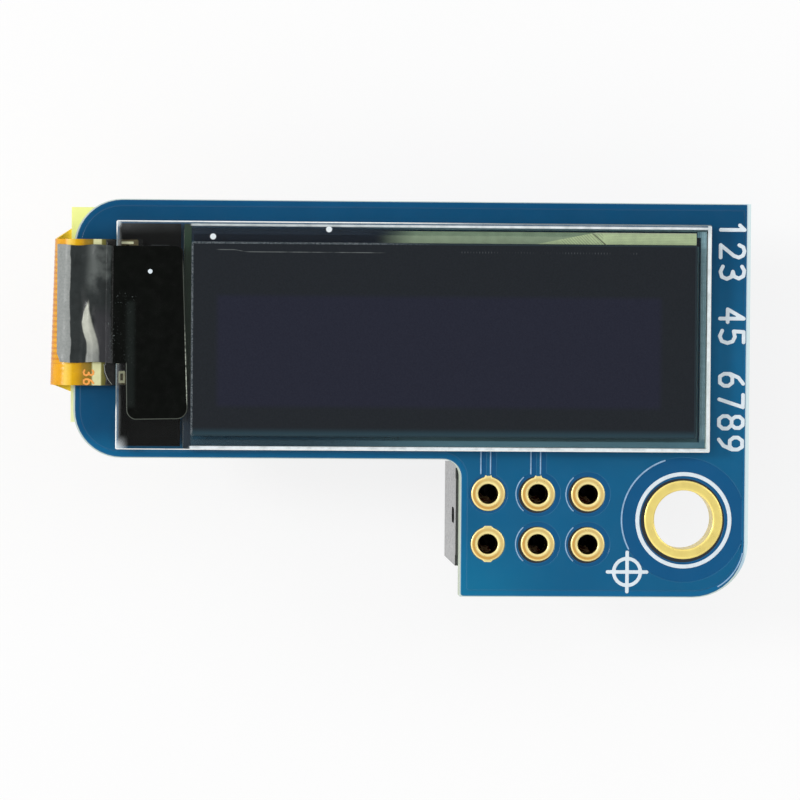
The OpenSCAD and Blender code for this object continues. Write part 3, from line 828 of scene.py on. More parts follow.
def make_board_back():
    """The back's mask, copper relief, tented vias and printed outlines."""
    inner = board_outline(POUR_INSET)
    lip = [board_outline(MASK_INSET), board_outline(POUR_INSET + 0.02)]
    Build().plate(lip, 0, -MASK_T, EASE).piece("back_mask_rim", BLUE, [rim_blue])
    holes = [circle(x, y, PIN_LAND_R + 0.06, 60) for x, y in PINS.values()]
    field = [inner, *holes, circle(0, 0, MOUNT_OPEN_R, 96)]
    Build().plate(field, 0, -MASK_T, FIELD_EASE).piece("back_mask_field", BLUE, [back_blue])
    copper = Build()
    low, high = -MASK_T / 2, -POUR_T
    r, y0 = LEFT_CORNER_R - POUR_INSET, BOARD_Y0 + POUR_INSET

    def relief(*loops):
        copper.plate(loops, low, high, EASE)

    def track(width, *path):
        relief(ribbon(path, width))

    relief(rounded([(-12.4, 3.32, 0.2), (-15.8, 6.4, 0.3), (-15.8, POUR_TOP, 0.2),
                    (-30.63, POUR_TOP, r), (-30.63, 3.32, r)]),
           box_outline(-26.0, -16.3, 5.7, 15.0, 0.4))
    relief(bitten(rounded([(2.98, y0, RIGHT_CORNER_R - POUR_INSET), (2.98, POUR_TOP, 0.2),
                           (-2.6, POUR_TOP, 0.3), (-2.6, 4.2, 0.6), (-3.5, 3.0, 0.6),
                           (-3.5, y0, 0.3)]), 0, 0, MOUNT_CLEAR_R))
    for n, y in zip((5, 3, 1), CHIP_Y):
        x, y = PINS[n][0], y - 0.1
        track(0.25, (x, 3.4), (x, y - 1.0), (x - 1.0, y), (CHIP_X[1] + 1.1, y))
    for n in (2, 4):
        x = PINS[n][0]
        track(0.3, (x + 1.27, -3.2), (x + 1.27, 4.6), (x + 1.9, 5.3), (x + 1.9, 14.4))
    for y in CHIP_Y:
        track(0.25, (CHIP_X[0] + 1.0, y), (CHIP_X[1] - 1.0, y))
        track(0.22, (-24.1, y), (CHIP_X[0] - 1.0, y))
    for x, y in VIAS:
        copper.plate([circle(x, y, 0.32, 32), circle(x, y, 0.13, 20)], -0.03, high - 0.012, EASE)
    copper.piece("back_mask_pour", BLUE, [back_pour])
    ink = Build()
    plate = (-MASK_T / 2, -PRINT_T, (0.02, 0.01))

    def outline(width, *path):
        ink.plate([ribbon(path, width)], *plate)

    x, y0, y1 = HEAD_X1 + 0.2, HEAD_Y0 - 0.2, HEAD_Y1 + 0.2
    outline(0.15, (x, y0), (x, y0 + 1.0))
    outline(0.15, (x, y1 - 1.0), (x, y1))
    for x in CHIP_X:
        for y in CHIP_Y:
            for side in (-0.62, 0.62):
                outline(0.12, (x - 1.2, y + side), (x + 1.2, y + side))
    ring_plate(ink, 0, 0, MOUNT_RING, *plate)
    ring_plate(ink, HEAD_X1 + 0.75, HEAD_Y1 + 0.6, (0.2,), *plate, count=30)
    ink.piece("back_print", INK, [white_ink])


make_board_top()
make_board_back()
make_plating()
make_print()


# ---------------------------------------------------------------- display panel

EDGE_LINE = 0.2
TOP_LINE = 0.1
GLASS_DOTS = ((-23.99, 14.19), (-18.17, 14.6))
GLASS_DOT_R = 0.15
REAR_EASE = (0.2, 0.03)
FRONT_EASE = (0.05, 0.05)
FILM_EASE = (0.1, 0.05)


def clear_material(name, haze=None):
    """Clear glass: it mirrors by angle at its outer face and lets the rest through unbent."""
    f = Finish(name)
    facing = f.minus(1, f.node("NewGeometry").outputs["Backfacing"])
    mirror = f.times(f.node("Fresnel", IOR=1.5).outputs[0], facing)
    through = f.node("BsdfTransparent", Color=(0.965, 0.985, 0.975, 1))
    both = f.blend(mirror, through, f.node("BsdfGlossy", Color=WHITE, Roughness=0.03))
    if haze:
        share, colour = haze(f)
        both = f.blend(share, both, f.node("BsdfPrincipled", Base_Color=colour, Roughness=0.5))
    return f.done(both)


def cut_edge_haze(f):
    """Where the ground edges scatter light into the front glass: a soft white border on three
    sides, thinner along the top, a sheen above it, a brighter smear at the ledge's lower corner,
    and two white dots."""
    left = f.rise(f.x, PANEL_X0 + 0.32, PANEL_X0)
    patches = f.rise(f.noise(1.5, 3), 0.3, 0.6)
    smear = f.times(f.rise(f.x, PANEL_X0 + 0.7, PANEL_X0), f.rise(f.y, PANEL_Y0 + 0.8, PANEL_Y0))
    corner = f.times(f.rise(f.x, PANEL_X0 + 0.35, PANEL_X0 + 0.05),
                     f.rise(f.y, PANEL_Y1 - 0.5, PANEL_Y1 - 0.1), 0.7)
    sheen = f.times(f.rise(f.y, PANEL_Y1 - 0.8, PANEL_Y1 - 0.1),
                    f.rise(f.x, REAR_X0 + 2.0, PANEL_X0), f.noise(0.9, 3), 0.09)
    past_ledge = f.rise(f.x, REAR_X0 + 0.25, REAR_X0 + 0.4)
    right = f.rise(f.x, PANEL_X1 - EDGE_LINE - 0.015, PANEL_X1 - EDGE_LINE + 0.015)
    low = f.times(f.rise(f.y, PANEL_Y0 + EDGE_LINE + 0.01, PANEL_Y0 + EDGE_LINE - 0.02), past_ledge)
    high = f.times(f.band(f.y, REAR_Y1 - TOP_LINE, REAR_Y1 + 0.02, 0.03), past_ledge,
                   f.mix_number(f.rise(f.x, -22, -8), 0.55, 0.95))
    rim = f.times(f.rise(f.y, REAR_Y1, PANEL_Y1), 0.5)
    uneven = f.plus(f.times(f.rise(f.noise(0.7, 4), 0.3, 0.65), 0.3), 0.66)
    share = f.most(f.times(left, patches, 0.2), corner, sheen, f.times(smear, 0.75),
                   f.times(f.most(right, low, high, rim), uneven))
    for x, y in GLASS_DOTS:
        share = f.most(share, f.times(f.ring(x, y, -1, GLASS_DOT_R, 0.05), 0.92))
    return f.times(share, f.rise(f.z, FRONT_Z1 - 0.02, FRONT_Z1 - 0.005)), rgb(232, 240, 243)


def frost_material(name="ground_glass_edge", sunk=False):
    """Ground glass edge, white with a faint green cast, and dim where it lies in shade. The rear
    glass is sunk, and its top bevel is darker still."""
    f = Finish(name)
    chips = f.rise(f.noise(0.12, 4, (1, 1, 0.4)), 0.58, 0.72)
    far = f.times(f.rise(f.y, REAR_Y1 + 0.06, REAR_Y1 + 0.1), f.rise(f.x, -16, -8))
    ledge = f.times(f.rise(f.x, PANEL_X0 + 0.08, PANEL_X0 + 0.04),
                    f.band(f.y, 5.6, PANEL_Y1 - 0.6, 0.5))
    colour = f.layers(f.varied(rgb(246, 249, 246), 0.05, 0.6),
                      (f.times(chips, 0.35), rgb(150, 170, 172)),
                      (f.times(f.most(far, ledge), 0.9), rgb(58, 84, 92)))
    if sunk:
        shade = f.mix(f.rise(f.x, -18, -11), rgb(20, 48, 76), rgb(96, 122, 134))
        bevel = f.times(f.rise(f.y, REAR_Y1 - 0.3, REAR_Y1 - 0.25),
                        f.rise(f.y, REAR_Y1 - 0.03, REAR_Y1 - 0.06))
        colour = f.mix(bevel, colour, shade)
    return f.surface(colour, 0.45, (0.05, 3, 0.004))


def seal_material():
    """Clear glue between the glasses: hazy teal in the margins and streaked at the right, navy and
    partly clear along the top and the lower left, dark green at the ledge."""
    f = Finish("glue_seal")
    outer = f.patch(REAR_X0, REAR_X1 - EDGE_LINE, REAR_Y0 + EDGE_LINE, REAR_Y1 - EDGE_LINE, 0.03)
    right = f.times(f.rise(f.x, POL_X1, POL_X1 + 0.02), f.rise(f.y, REAR_Y0 + 0.5, REAR_Y0 + 0.7))
    streaks = f.times(f.rise(f.wave(f.x, 62), -0.2, 0.6),
                      f.rise(f.noise(0.5, 3, (1, 4, 1)), 0.3, 0.7))
    bright = f.rise(f.x, POL_X1 + 0.1, POL_X1 + 0.45)
    streaked = f.math("MULTIPLY_ADD", streaks, 0.35, f.times(bright, 0.65))
    top = f.times(f.rise(f.y, POL_Y1 - 0.05, POL_Y1 + 0.05),
                  f.rise(f.x, POL_X1 + 0.08, POL_X1 + 0.04))
    ledge = f.rise(f.x, POL_X0 + 0.03, POL_X0)
    colour = f.layers(
        rgb(112, 158, 178),
        (f.times(right, 0.9), f.mix(streaked, rgb(66, 108, 124), rgb(190, 224, 238))),
        (f.most(f.times(f.rise(f.x, -11, -20), 0.75), top), rgb(10, 36, 60)),
        (ledge, f.mix(f.rise(f.y, 7.5, 6.0), rgb(20, 50, 30), rgb(16, 34, 52))))
    thin = f.mix_number(f.times(top, f.rise(f.x, -17, -13)), 0.62, 0.08)
    share = f.most(f.times(outer, f.most(f.times(right, 0.85), thin)), ledge)
    return f.done(f.blend(share, f.node("BsdfTransparent", Color=(0.93, 0.97, 0.96, 1)),
                          f.node("BsdfPrincipled", Base_Color=colour, Roughness=0.4)))


def polarizer_material(name, edge=False):
    """Dark film with a violet window where the pixels are, a faint dotted row of their leads, a
    fine scratch beside it and a teal lower edge. The film's edge also has a speckled burr."""
    f = Finish(name)
    fine = f.noise(0.07, 2)
    window = f.patch(ACTIVE_X0 + 0.05, ACTIVE_X1 + 0.05, ACTIVE_Y0, ACTIVE_Y1, 0.35)
    dots = f.times(f.rise(f.wave(f.x, 42), 0.3, 0.9), f.patch(-11.6, -2.6, 13.45, 13.53, 0.06),
                   f.rise(f.noise(1.2, 3), 0.4, 0.6), 0.3)
    stepped = f.minus(f.y, f.times(f.rise(f.x, -22.2, -23.0), 0.1))
    scratch = f.times(f.band(stepped, 13.42, 13.46), f.rise(f.x, -23.9, -23.6),
                      f.rise(f.x, -15.2, -16.2), f.rise(f.noise(0.9, 3), 0.25, 0.55), 0.65)
    film = f.layers(
        f.mix(fine, rgb(26, 30, 35), rgb(37, 41, 46)),
        (f.times(window, 0.85), f.mix(fine, rgb(29, 31, 45), rgb(40, 42, 57))),
        (dots, rgb(104, 110, 114)),
        (scratch, rgb(112, 118, 118)),
        (f.times(f.rise(f.y, POL_Y0 + 0.48, POL_Y0 + 0.05), 0.85), rgb(44, 68, 78)))
    if edge:
        burr = f.most(f.rise(f.x, POL_X0 + 0.2, POL_X0 + 0.1),
                      f.rise(f.y, POL_Y1 - 0.2, POL_Y1 - 0.1))
        burr = f.times(burr, f.rise(f.noise(0.06, 3), 0.38, 0.62), f.rise(f.x, -12.0, -17.0), 0.7)
        film = f.mix(burr, f.mix(0.5, film, rgb(34, 52, 60)), rgb(112, 118, 122))
    rough, gloss = (0.5, 0.15) if edge else (0.16, 0.3)
    return f.surface(film, rough, (0.04, 2, 0.0008), Specular_IOR_Level=gloss)


def electrode_material():
    """Pale metal film, ruled with fine leads, with a hatched patch, a dark slanted line and a
    darker, greyer far end."""
    f = Finish("lead_film")
    rows = f.rise(f.wave(f.y, 78), -0.3, 0.5)
    hatch = f.rise(f.wave(f.plus(f.x, f.y), 40), -0.1, 0.4)
    line = f.band(f.plus(f.x, f.times(f.y, 1.15)), 11.81, 11.89, 0.03)
    colour = f.mix(f.times(f.rise(f.x, -3.9, -3.8), rows, 0.4),
                   rgb(208, 222, 178), rgb(172, 186, 148))
    colour = f.layers(colour,
                      (f.times(f.band(f.x, -6.4, -4.3, 0.1), hatch, 0.35), rgb(110, 124, 96)),
                      (f.times(line, 0.8), rgb(46, 54, 44)),
                      (f.rise(f.x, -5.5, -10.5), rgb(128, 144, 120)),
                      (f.times(f.rise(f.y, STRIP_Y1 - 0.1, STRIP_Y1), 0.6), rgb(198, 202, 190)))
    return f.surface(f.varied(colour, 0.08, 0.4), f.lumps(0.4, 0.08, 0.2), Metallic=0.3)


def liner_material():
    """The panel's dark inside: faint leads, teal margins, olive and navy along the top, and partly
    clear below the film."""
    f = Finish("panel_liner")
    leads = f.times(f.rise(f.wave(f.y, 60), 0.3, 0.8), f.band(f.x, -17, -7, 2), 0.25)
    margin = f.most(f.rise(f.x, POL_X1 - 0.2, POL_X1 + 0.02),
                    f.rise(f.y, POL_Y0 + 0.6, POL_Y0 + 0.3))
    ends = f.times(f.rise(f.x, -15.9, -13.6), f.rise(f.x, POL_X1 - 0.04, POL_X1 - 0.08))
    below = f.rise(f.y, POL_Y0 + 0.02, POL_Y0 - 0.02)
    colour = f.layers(
        f.mix(f.noise(0.8, 4), rgb(8, 11, 20), rgb(22, 28, 42)),
        (f.times(margin, f.rise(f.x, REAR_X0 + 0.5, REAR_X0 + 1.5)), rgb(66, 98, 110)),
        (leads, rgb(70, 84, 80)),
        (f.rise(f.y, POL_Y1 - 0.1, POL_Y1 - 0.05),
         f.mix(ends, rgb(8, 20, 36), f.varied(rgb(152, 166, 142), 0.08, 0.5))),
        (below, f.mix(f.rise(f.x, -20, -12), rgb(34, 78, 102), rgb(72, 104, 114))))
    cloud = f.node("BsdfPrincipled", Base_Color=colour, Roughness=0.3, Specular_IOR_Level=0.25)
    return f.done(f.blend(f.mix_number(below, 1.0, 0.72), f.node("BsdfTransparent"), cloud))


def slab(name, slot, box, z0, z1, ease, materials, node):
    """A flat piece with rounded corners, with one material for its faces and one for its sides."""
    Build().plate([box_outline(*box)], z0, z1, ease, 0, 1).piece(name, slot, materials, [node])


def make_panel():
    """The two glasses, the film on them and the dark liner between them."""
    frost = frost_material()
    sunk_frost = frost_material("sunk_glass_edge", sunk=True)
    slab("rear_glass", "clear_glass", (REAR_X0, REAR_X1, REAR_Y0, REAR_Y1, 0.08),
         REAR_Z0, REAR_Z1, REAR_EASE, [clear_material("clear_glass_rear"), sunk_frost],
         "display_rear_glass")
    slab("front_glass", "clear_glass", (PANEL_X0, PANEL_X1, PANEL_Y0, PANEL_Y1, 0.08),
         FRONT_Z0, FRONT_Z1, FRONT_EASE,
         [clear_material("clear_glass_front", cut_edge_haze), frost],
         "display_front_glass")
    slab("polarizer", "polarizer_dark", (POL_X0, POL_X1, POL_Y0, POL_Y1, 0.12),
         POL_Z0, POL_Z1, FILM_EASE,
         [polarizer_material("polarizer_face"), polarizer_material("polarizer_burr", True)],
         "polarizer_film")
    liner = [box_outline(REAR_X0 + 0.2, POL_X1 + 0.16, POL_Y0 - 0.21, REAR_Y1 - 0.28),
             box_outline(ACTIVE_X0 - 0.05, ACTIVE_X1 + 0.05, ACTIVE_Y0 - 0.05, ACTIVE_Y1 + 0.05)]
    Build().plate(liner, REAR_Z1 + 0.002, REAR_Z1 + 0.016).piece("panel_liner", "active_dark",
                                                                 [liner_material()])
    dress(seal_material(), "edge_seal")
    dress(electrode_material(), "electrode_film")


make_panel()
dress(plain("pixel_layer", rgb(36, 34, 56), 0.1, 0.4, 0.3), "emitter_layer")
dress(plain("adhesive_sheet", rgb(222, 223, 220), 0.05, 0.5, 0.6), "display_adhesive")
dress(plain("silicon_chip", rgb(118, 120, 126), 0.05, 0.6, 0.2, Metallic=0.5), "driver_chip")
dress(plain("black_foam", rgb(5, 6, 6), 0.3, 0.3, 0.9, 0.01, Specular_IOR_Level=0.1), "ledge_foam")


# ---------------------------------------------------------------- ledge marks, cable and tape

CABLE_Y = 10.34
CABLE_HALF = 3.675
BEND_X = -31.13
BEND_R = 1.0
CABLE_SKIN = 0.012
CABLE_T = 0.1
LEDGE_X = -27.5
TAIL_X = -30.5
SKEW_X = -29.5
LOW_BEND_Z = FLEX_Z0 + BEND_R
HIGH_BEND_Z = FLEX_Z1 - BEND_R
CABLE_SKEW = 0.0275
LEAD_PITCH = 0.27
LEAD_RATE = 2 * math.pi / LEAD_PITCH
LEAD_H = 0.008
SPREAD_ABOVE, SPREAD_BELOW = 0.56, 0.38
TAIL_ABOVE, TAIL_BELOW = 0.67, 0.85


def smooth(value, start, end):
    """0 at start, 1 at end, with a soft slope between."""
    share = max(0.0, min(1.0, (value - start) / (end - start)))
    return share * share * (3 - 2 * share)


def skew(x, y):
    """How far the cable, which lies a little askew, is pulled towards +X near its fold."""
    return CABLE_SKEW * (y - (CABLE_Y - CABLE_HALF)) * smooth(x, SKEW_X, BEND_X)


def cable_path():
    """The cable's outer side from the ledge round to its tail: x, z, outward x, outward z, and how
    far it spreads past its upper width, at its +Y side and its -Y side."""
    rows = [(LEDGE_X + (BEND_X - LEDGE_X) * i / 36, FLEX_Z1, 0, 1, 0, 0) for i in range(36)]
    for start, z in ((90, HIGH_BEND_Z), (180, LOW_BEND_Z)):
        for i in range(15):
            a = math.radians(start + 90 * i / 14)
            u, v = math.cos(a), math.sin(a)
            gone = 1 + u if start == 180 else 0
            rows.append((BEND_X + BEND_R * u, z + BEND_R * v, u, v,
                         SPREAD_ABOVE * min(1, gone / 0.84), SPREAD_BELOW * gone))
    for i in range(1, 37):
        x = BEND_X + (FLEX_X1 - BEND_X) * i / 36
        widen = smooth(x, TAIL_X, LEDGE_X)
        rows.append((x, FLEX_Z0, 0, -1, SPREAD_ABOVE + TAIL_ABOVE * widen,
                     SPREAD_BELOW + TAIL_BELOW * widen))
    return rows


def cable_material():
    """Amber film over fine copper leads: yellow over the light, olive over the board, cream and
    black at the ledge, with a painted highlight on the fold's upper curve."""
    f = Finish("amber_film")
    lean = f.times(f.minus(f.y, CABLE_Y - CABLE_HALF), CABLE_SKEW)
    x = f.minus(f.x, f.times(lean, f.rise(f.x, SKEW_X, BEND_X)))
    # the paler stops at -31.38 and -31.14 are a painted highlight on the fold's upper curve
    top = f.strip(x, [(-32.16, rgb(196, 122, 16)), (-31.95, rgb(226, 160, 10)),
                      (-31.6, rgb(228, 160, 6)), (-31.38, rgb(244, 204, 82)),
                      (-31.14, rgb(240, 192, 56)), (-31.02, rgb(218, 166, 14)),
                      (-30.7, rgb(192, 142, 18)), (-30.5, rgb(152, 118, 34)),
                      (-30.06, rgb(124, 106, 40)), (-29.98, rgb(214, 214, 164)),
                      (-29.6, rgb(214, 214, 164)), (-29.54, rgb(110, 106, 50)),
                      (-29.2, rgb(72, 70, 36)), (-28.95, rgb(12, 12, 9)), (-28.6, rgb(6, 6, 6))])
    under = f.strip(f.x, [(-32.2, rgb(246, 190, 30)), (-31.7, rgb(255, 208, 36)),
                          (-31.1, rgb(255, 218, 60)), (-30.4, rgb(250, 214, 40)),
                          (-27, rgb(214, 150, 26)), (-24.6, rgb(204, 140, 30))])
    lead = f.rise(f.wave(f.minus(f.y, CABLE_Y), LEAD_RATE), -0.15, 0.35)
    lead = f.times(lead, f.band(f.y, CABLE_Y - 2.6, CABLE_Y + 3.05, 0.1), f.rise(f.x, -30.4, -31.2))
    colour = f.mix(f.times(lead, 0.45), f.mix(f.rise(f.z, 1.3, 0.7), top, under), rgb(176, 92, 40))
    return f.surface(f.varied(colour, 0.07, 0.5), f.lumps(0.26, 0.06, 0.4), (0.25, 3, 0.008),
                     Specular_IOR_Level=0.3, Coat_Weight=0.12, Coat_Roughness=0.1)


def make_cable():
    """The cable, with its leads as fine ridges."""
    cols = 124
    grid = []
    for x, z, out_x, out_z, above, below in cable_path():
        row = []
        y0, y1 = CABLE_Y - CABLE_HALF - below, CABLE_Y + CABLE_HALF + above
        for j in range(cols + 1):
            y = y1 + (y0 - y1) * j / cols
            ridge = smooth(math.sin(LEAD_RATE * (y - CABLE_Y)), -0.2, 0.5)
            lift = LEAD_H * ridge * smooth(abs(y - CABLE_Y), 3.2, 3.0) - CABLE_SKIN
            row.append((x + out_x * lift + skew(x, y), y, z + out_z * lift))
        grid.append(row)
    Build().sheet(grid, CABLE_T).piece("ribbon_cable", "flex_amber", [cable_material()],
                                       ["flex_cable"], smooth=50)


TAB_X1 = -28.2
TAB_Y0, TAB_Y1 = 7.84, TAPE_Y1
TAPE_LIFT = 0.07
TAPE_T = 0.05
TAPE_LEFT = -31.79
TAPE_R = BEND_R + TAPE_LIFT


def tab_height(x, y):
    """Height of the tape's tab over the ledge's edge and the cable, with its creases."""
    low = FLEX_Z1 + TAPE_LIFT
    z = low + (TAPE_Z1 - low + 0.004) * smooth(x, -29.36, -28.98)
    ridge_x = -30.25 + 0.25 * smooth(y, 9.9, 8.6)
    ridge_w = 0.2 if x < ridge_x else 0.36
    for height, middle, width in ((0.22 * smooth(y, 11.2, 9.8), ridge_x, ridge_w),
                                  (0.07 * smooth(y, 10.8, 11.8), -29.75, 0.25),
                                  (-0.03, -30.75, 0.2)):
        z += height * math.exp(-((x - middle) / width) ** 2)
    flat = smooth(x, -28.95, -29.2)
    return z + flat * 0.035 * noise.noise(Vector((x * 2.2, y * 1.1, 3.0)))


def tape_material():
    """Thin black film, near black where it lies flat on the glass. Over the ledge and round the
    bend its greys are painted reflection: a dim band, a grey slope and patch, a paler crease, and
    the roll.
    """
    f = Finish("black_tape")
    wobble = f.times(f.minus(f.noise(1.6, 3, (0.3, 1, 0.3)), 0.5), 0.28)
    x = f.plus(f.x, wobble)
    # painted reflection where the tape rolls round the bend
    roll_sheen = f.mix(f.noise(0.12, 4), rgb(122, 126, 125), rgb(160, 163, 160))
    left = f.course(f.y, [(7.8, -30.36), (8.7, -30.31), (9.85, -30.5), (11.1, -30.18)])
    right = f.course(f.y, [(7.8, -29.66), (8.7, -29.71), (9.45, -29.88), (10.3, -30.08),
                           (11.1, -30.18)])
    # painted reflection along the crease, lighter towards its upper end
    crease = f.times(f.rise(f.minus(x, left), -0.03, 0.05), f.rise(f.minus(x, right), 0.04, -0.08),
                     f.rise(f.y, 11.1, 10.6), 0.97)
    crease_sheen = f.mix(f.rise(f.y, 8.0, 9.4), rgb(140, 143, 138), rgb(182, 184, 172))
    # painted reflection on the crease's slope and on a patch above it
    flank_sheen = f.times(f.band(x, -29.9, -29.1, 0.2), f.rise(f.y, 10.9, 9.9), 0.9)
    sheen_patch = f.times(f.band(x, -30.25, -29.15, 0.45), f.rise(f.y, 11.1, 11.9),
                     f.rise(f.noise(1.1, 3), 0.36, 0.6), 0.8)
    places = f.most(f.patch(-29.15, -27.8, 10.85, 11.3, 0.2), f.patch(-29.25, -28.9, 7.8, 9.9, 0.1),
                    f.times(f.patch(-29.3, -27.9, 7.6, 11.2, 0.5), 0.15))
    scuffs = f.times(places, f.rise(f.noise(0.09, 4), 0.61, 0.7), 0.7)
    streak = f.times(f.patch(-28.3, -27.9, 5.6, 10.9, 0.3), 0.5)
    colour = f.layers(
        f.varied(rgb(5, 7, 5), 0.25, 0.6),
        # painted reflection: the tab over the ledge is dim grey, not black
        (f.band(x, -31.12, -29.08, 0.1), f.varied(rgb(44, 48, 48), 0.25, 0.7)),
        (flank_sheen, rgb(58, 58, 61)),
        (sheen_patch, rgb(92, 97, 95)),
        (crease, f.varied(crease_sheen, 0.12, 0.35)),
        (f.rise(x, -31.08, -31.14), roll_sheen),
        (streak, rgb(34, 40, 38)),
        (scuffs, rgb(120, 130, 128)))
    return f.surface(colour, f.lumps(0.24, 0.05, 0.5), (0.3, 4, 0.01), Specular_IOR_Level=0.16)


def tape_edge_material():
    """The tape's cut edge, a thin line with a painted pale highlight, brightest at the lower right.
    """
    f = Finish("tape_edge")
    # painted highlight along the cut edge, brightest at the lower right; black where the tab covers
    # it and at the top
    bright = f.times(f.rise(f.x, -26.2, -25.6), f.rise(f.y, 10.5, 8.0), f.rise(f.y, 5.4, 6.4))
    pale = f.most(f.times(bright, f.rise(f.noise(0.2, 3), 0.3, 0.6)), 0.1)
    covered = f.times(f.rise(f.x, -27.9, -28.1), f.rise(f.y, TAB_Y0 - 0.1, TAB_Y0 + 0.1))
    colour = f.layers(f.mix(pale, rgb(34, 40, 36), rgb(206, 214, 198)),
                      (f.most(covered, f.rise(f.y, 12.5, 13.2)), rgb(5, 6, 5)))
    return f.surface(colour, 0.5, Specular_IOR_Level=0.15)


def make_tape():
    """The tape's field on the glass, with a white fleck, and its tab round the cable's bend."""
    tape = Build()
    outline = rounded([(-28.28, TAPE_Y0 + 0.02, 0.5), (-25.2, TAPE_Y0 + 0.08, 0.55),
                       (-25.5, TAPE_Y1, 0.4), (-28.42, TAPE_Y1 - 0.03, 0.05)])
    tape.plate([outline], FRONT_Z1 + 0.004, TAPE_Z1, (0.045, 0.03), 0, 1)
    tape.plate([circle(-27.13, 12.42, 0.12, 24)], TAPE_Z1 - 0.01, TAPE_Z1 + 0.012, (0.04, 0.02), 2)
    cols, flat_rows, wrap_rows = 80, 110, 22
    grid = []
    for i in range(flat_rows + wrap_rows):
        row = []
        for j in range(cols + 1):
            y = TAB_Y1 - 0.02 - (TAB_Y1 - TAB_Y0) * j / cols
            if i < flat_rows:
                x = TAB_X1 + (BEND_X - TAB_X1) * i / flat_rows
                z = tab_height(x, y)
            else:
                share = (i - flat_rows) / (wrap_rows - 1)
                wrap = math.degrees(math.asin((BEND_X + skew(BEND_X, y) - TAPE_LEFT) / TAPE_R))
                corner = smooth(y, TAB_Y0 + 0.45, TAB_Y0) * 9
                a = math.radians(90 + min(wrap * share, wrap - corner))
                r = TAPE_R + 0.012 * noise.noise(Vector((share * 2.1, y * 1.4, 7.0)))
                proud = tab_height(BEND_X, y) - FLEX_Z1 - TAPE_LIFT
                x = BEND_X + r * math.cos(a)
                z = HIGH_BEND_Z + r * math.sin(a) + proud * (1 - share)
            row.append((x + skew(x, y), y + 0.03 * math.sin(x * 3.1), z))
        grid.append(row)
    tape.sheet(grid, TAPE_T).piece("tape", "tape_black",
                                   [tape_material(), tape_edge_material(), white_ink],
                                   ["cover_tape"], smooth=60)


def make_ledge_marks():
    """Marks seen through the ledge, the glue line at its edge, and the marks on the cable."""
    marks = Build()
    z0, z1 = FRONT_Z0 - 0.018, FRONT_Z0 - 0.004
    for mark, *boxes in ((1, (-28.75, -27.73, 13.66, 13.99, 0.08)),
                         (0, (-28.58, -27.97, 13.78, 13.90, 0.02)),
                         (1, (-28.74, -28.31, 6.72, 7.46, 0.04)),
                         (0, (-28.69, -28.37, 6.79, 7.40, 0.02), (-28.60, -28.46, 6.92, 7.27)),
                         (0, (-28.79, -28.67, 7.66, 7.80, 0.02))):
        marks.plate([box_outline(*box) for box in boxes], z0, z1 - 0.006 * mark, mark=mark)
    marks.piece("ledge_marks", "clear_glass",
                [plain("pale_mark", rgb(238, 232, 196), 0.06, 0.15, 0.5),
                 plain("olive_mark", rgb(92, 78, 44), 0.15, 0.1, 0.5)])
    y0, length = CABLE_Y - CABLE_HALF + 0.02, 2 * (CABLE_HALF - 0.02)
    left = [(-29.36 + 0.07 * math.sin(k * 1.7) - 0.02 * (k % 3), y0 + length * k / 24)
            for k in range(25)]
    right = [(PANEL_X0 - 0.01, left[0][1]), (PANEL_X0 - 0.01, left[-1][1])]
    glue = Build().plate([right + left[::-1]], FLEX_Z1 - 0.05, FLEX_Z1 + 0.03, (0.06, 0.04))
    glue.piece("ledge_glue", "tape_black",
               [plain("black_glue", rgb(14, 14, 13), 0.3, 0.3, 0.3, 0.01)])
    lip = Build()
    lip.plate([ribbon([(-29.42, 7.72), (-29.36, 7.3), (-29.2, 6.95), (-29.02, 6.72)], 0.03)],
              FLEX_Z1, FLEX_Z1 + 0.05, (0.015, 0.015))
    numbers(lip, "36", -30.44, 7.42, 0.5, 0.44, 0.09, FLEX_Z1 - 0.02, FLEX_Z1 + 0.004,
            (0.015, 0.004), 1)
    lip.piece("cable_marks", "flex_amber",
              [plain("grey_lip", rgb(150, 152, 142), 0.1, 0.1, 0.5),
               plain("copper_marks", rgb(244, 160, 72), 0.08, 0.1, 0.4)])


def pad_material():
    """Pale yellow adhesive, creamier towards its lower end."""
    f = Finish("pale_pad")
    colour = f.mix(f.rise(f.y, 8.5, 5.5), rgb(250, 254, 160), rgb(244, 246, 196))
    return f.surface(f.varied(colour, 0.03, 0.8), 0.6, (0.3, 3, 0.006), Specular_IOR_Level=0.3)


make_cable()
make_tape()
make_ledge_marks()
dress(pad_material(), "flex_adhesive_pad")


# ---------------------------------------------------------------- header and back

TIN = rgb(206, 206, 204)


def header_material():
    """Fine-grained black moulding, painted darker inside as shade, and with a painted shadow of the
    board, its edge uneven, across the top of its left end.
    """
    f = Finish("header_moulding")
    specks = f.times(f.rise(f.noise(0.11, 5), 0.64, 0.7), 0.3)
    # painted shade inside the cavities
    inside = f.times(f.patch(HEAD_X0 + 0.5, HEAD_X1 - 0.5, HEAD_Y0 + 0.2, HEAD_Y1 - 0.2),
                     f.rise(f.z, HEAD_Z0 + 0.1, HEAD_Z0 + 0.5))
    # painted shadow of the board on the top of the left end
    shadow_edge = f.plus(f.z, f.times(f.minus(f.noise(0.5, 4), 0.5), 1.2))
    end = f.times(f.rise(shadow_edge, -1.9, -1.5), f.rise(f.x, HEAD_X0 + 0.05, HEAD_X0))
    colour = f.layers(f.varied(rgb(40, 41, 42), 0.15, 0.2), (specks, rgb(110, 110, 108)),
                      (inside, rgb(6, 5, 5)), (end, rgb(8, 8, 7)))
    return f.surface(colour, f.lumps(0.22, 0.05, 0.2), (0.06, 3, 0.003), IOR=1.6,
                     Specular_IOR_Level=0.9)


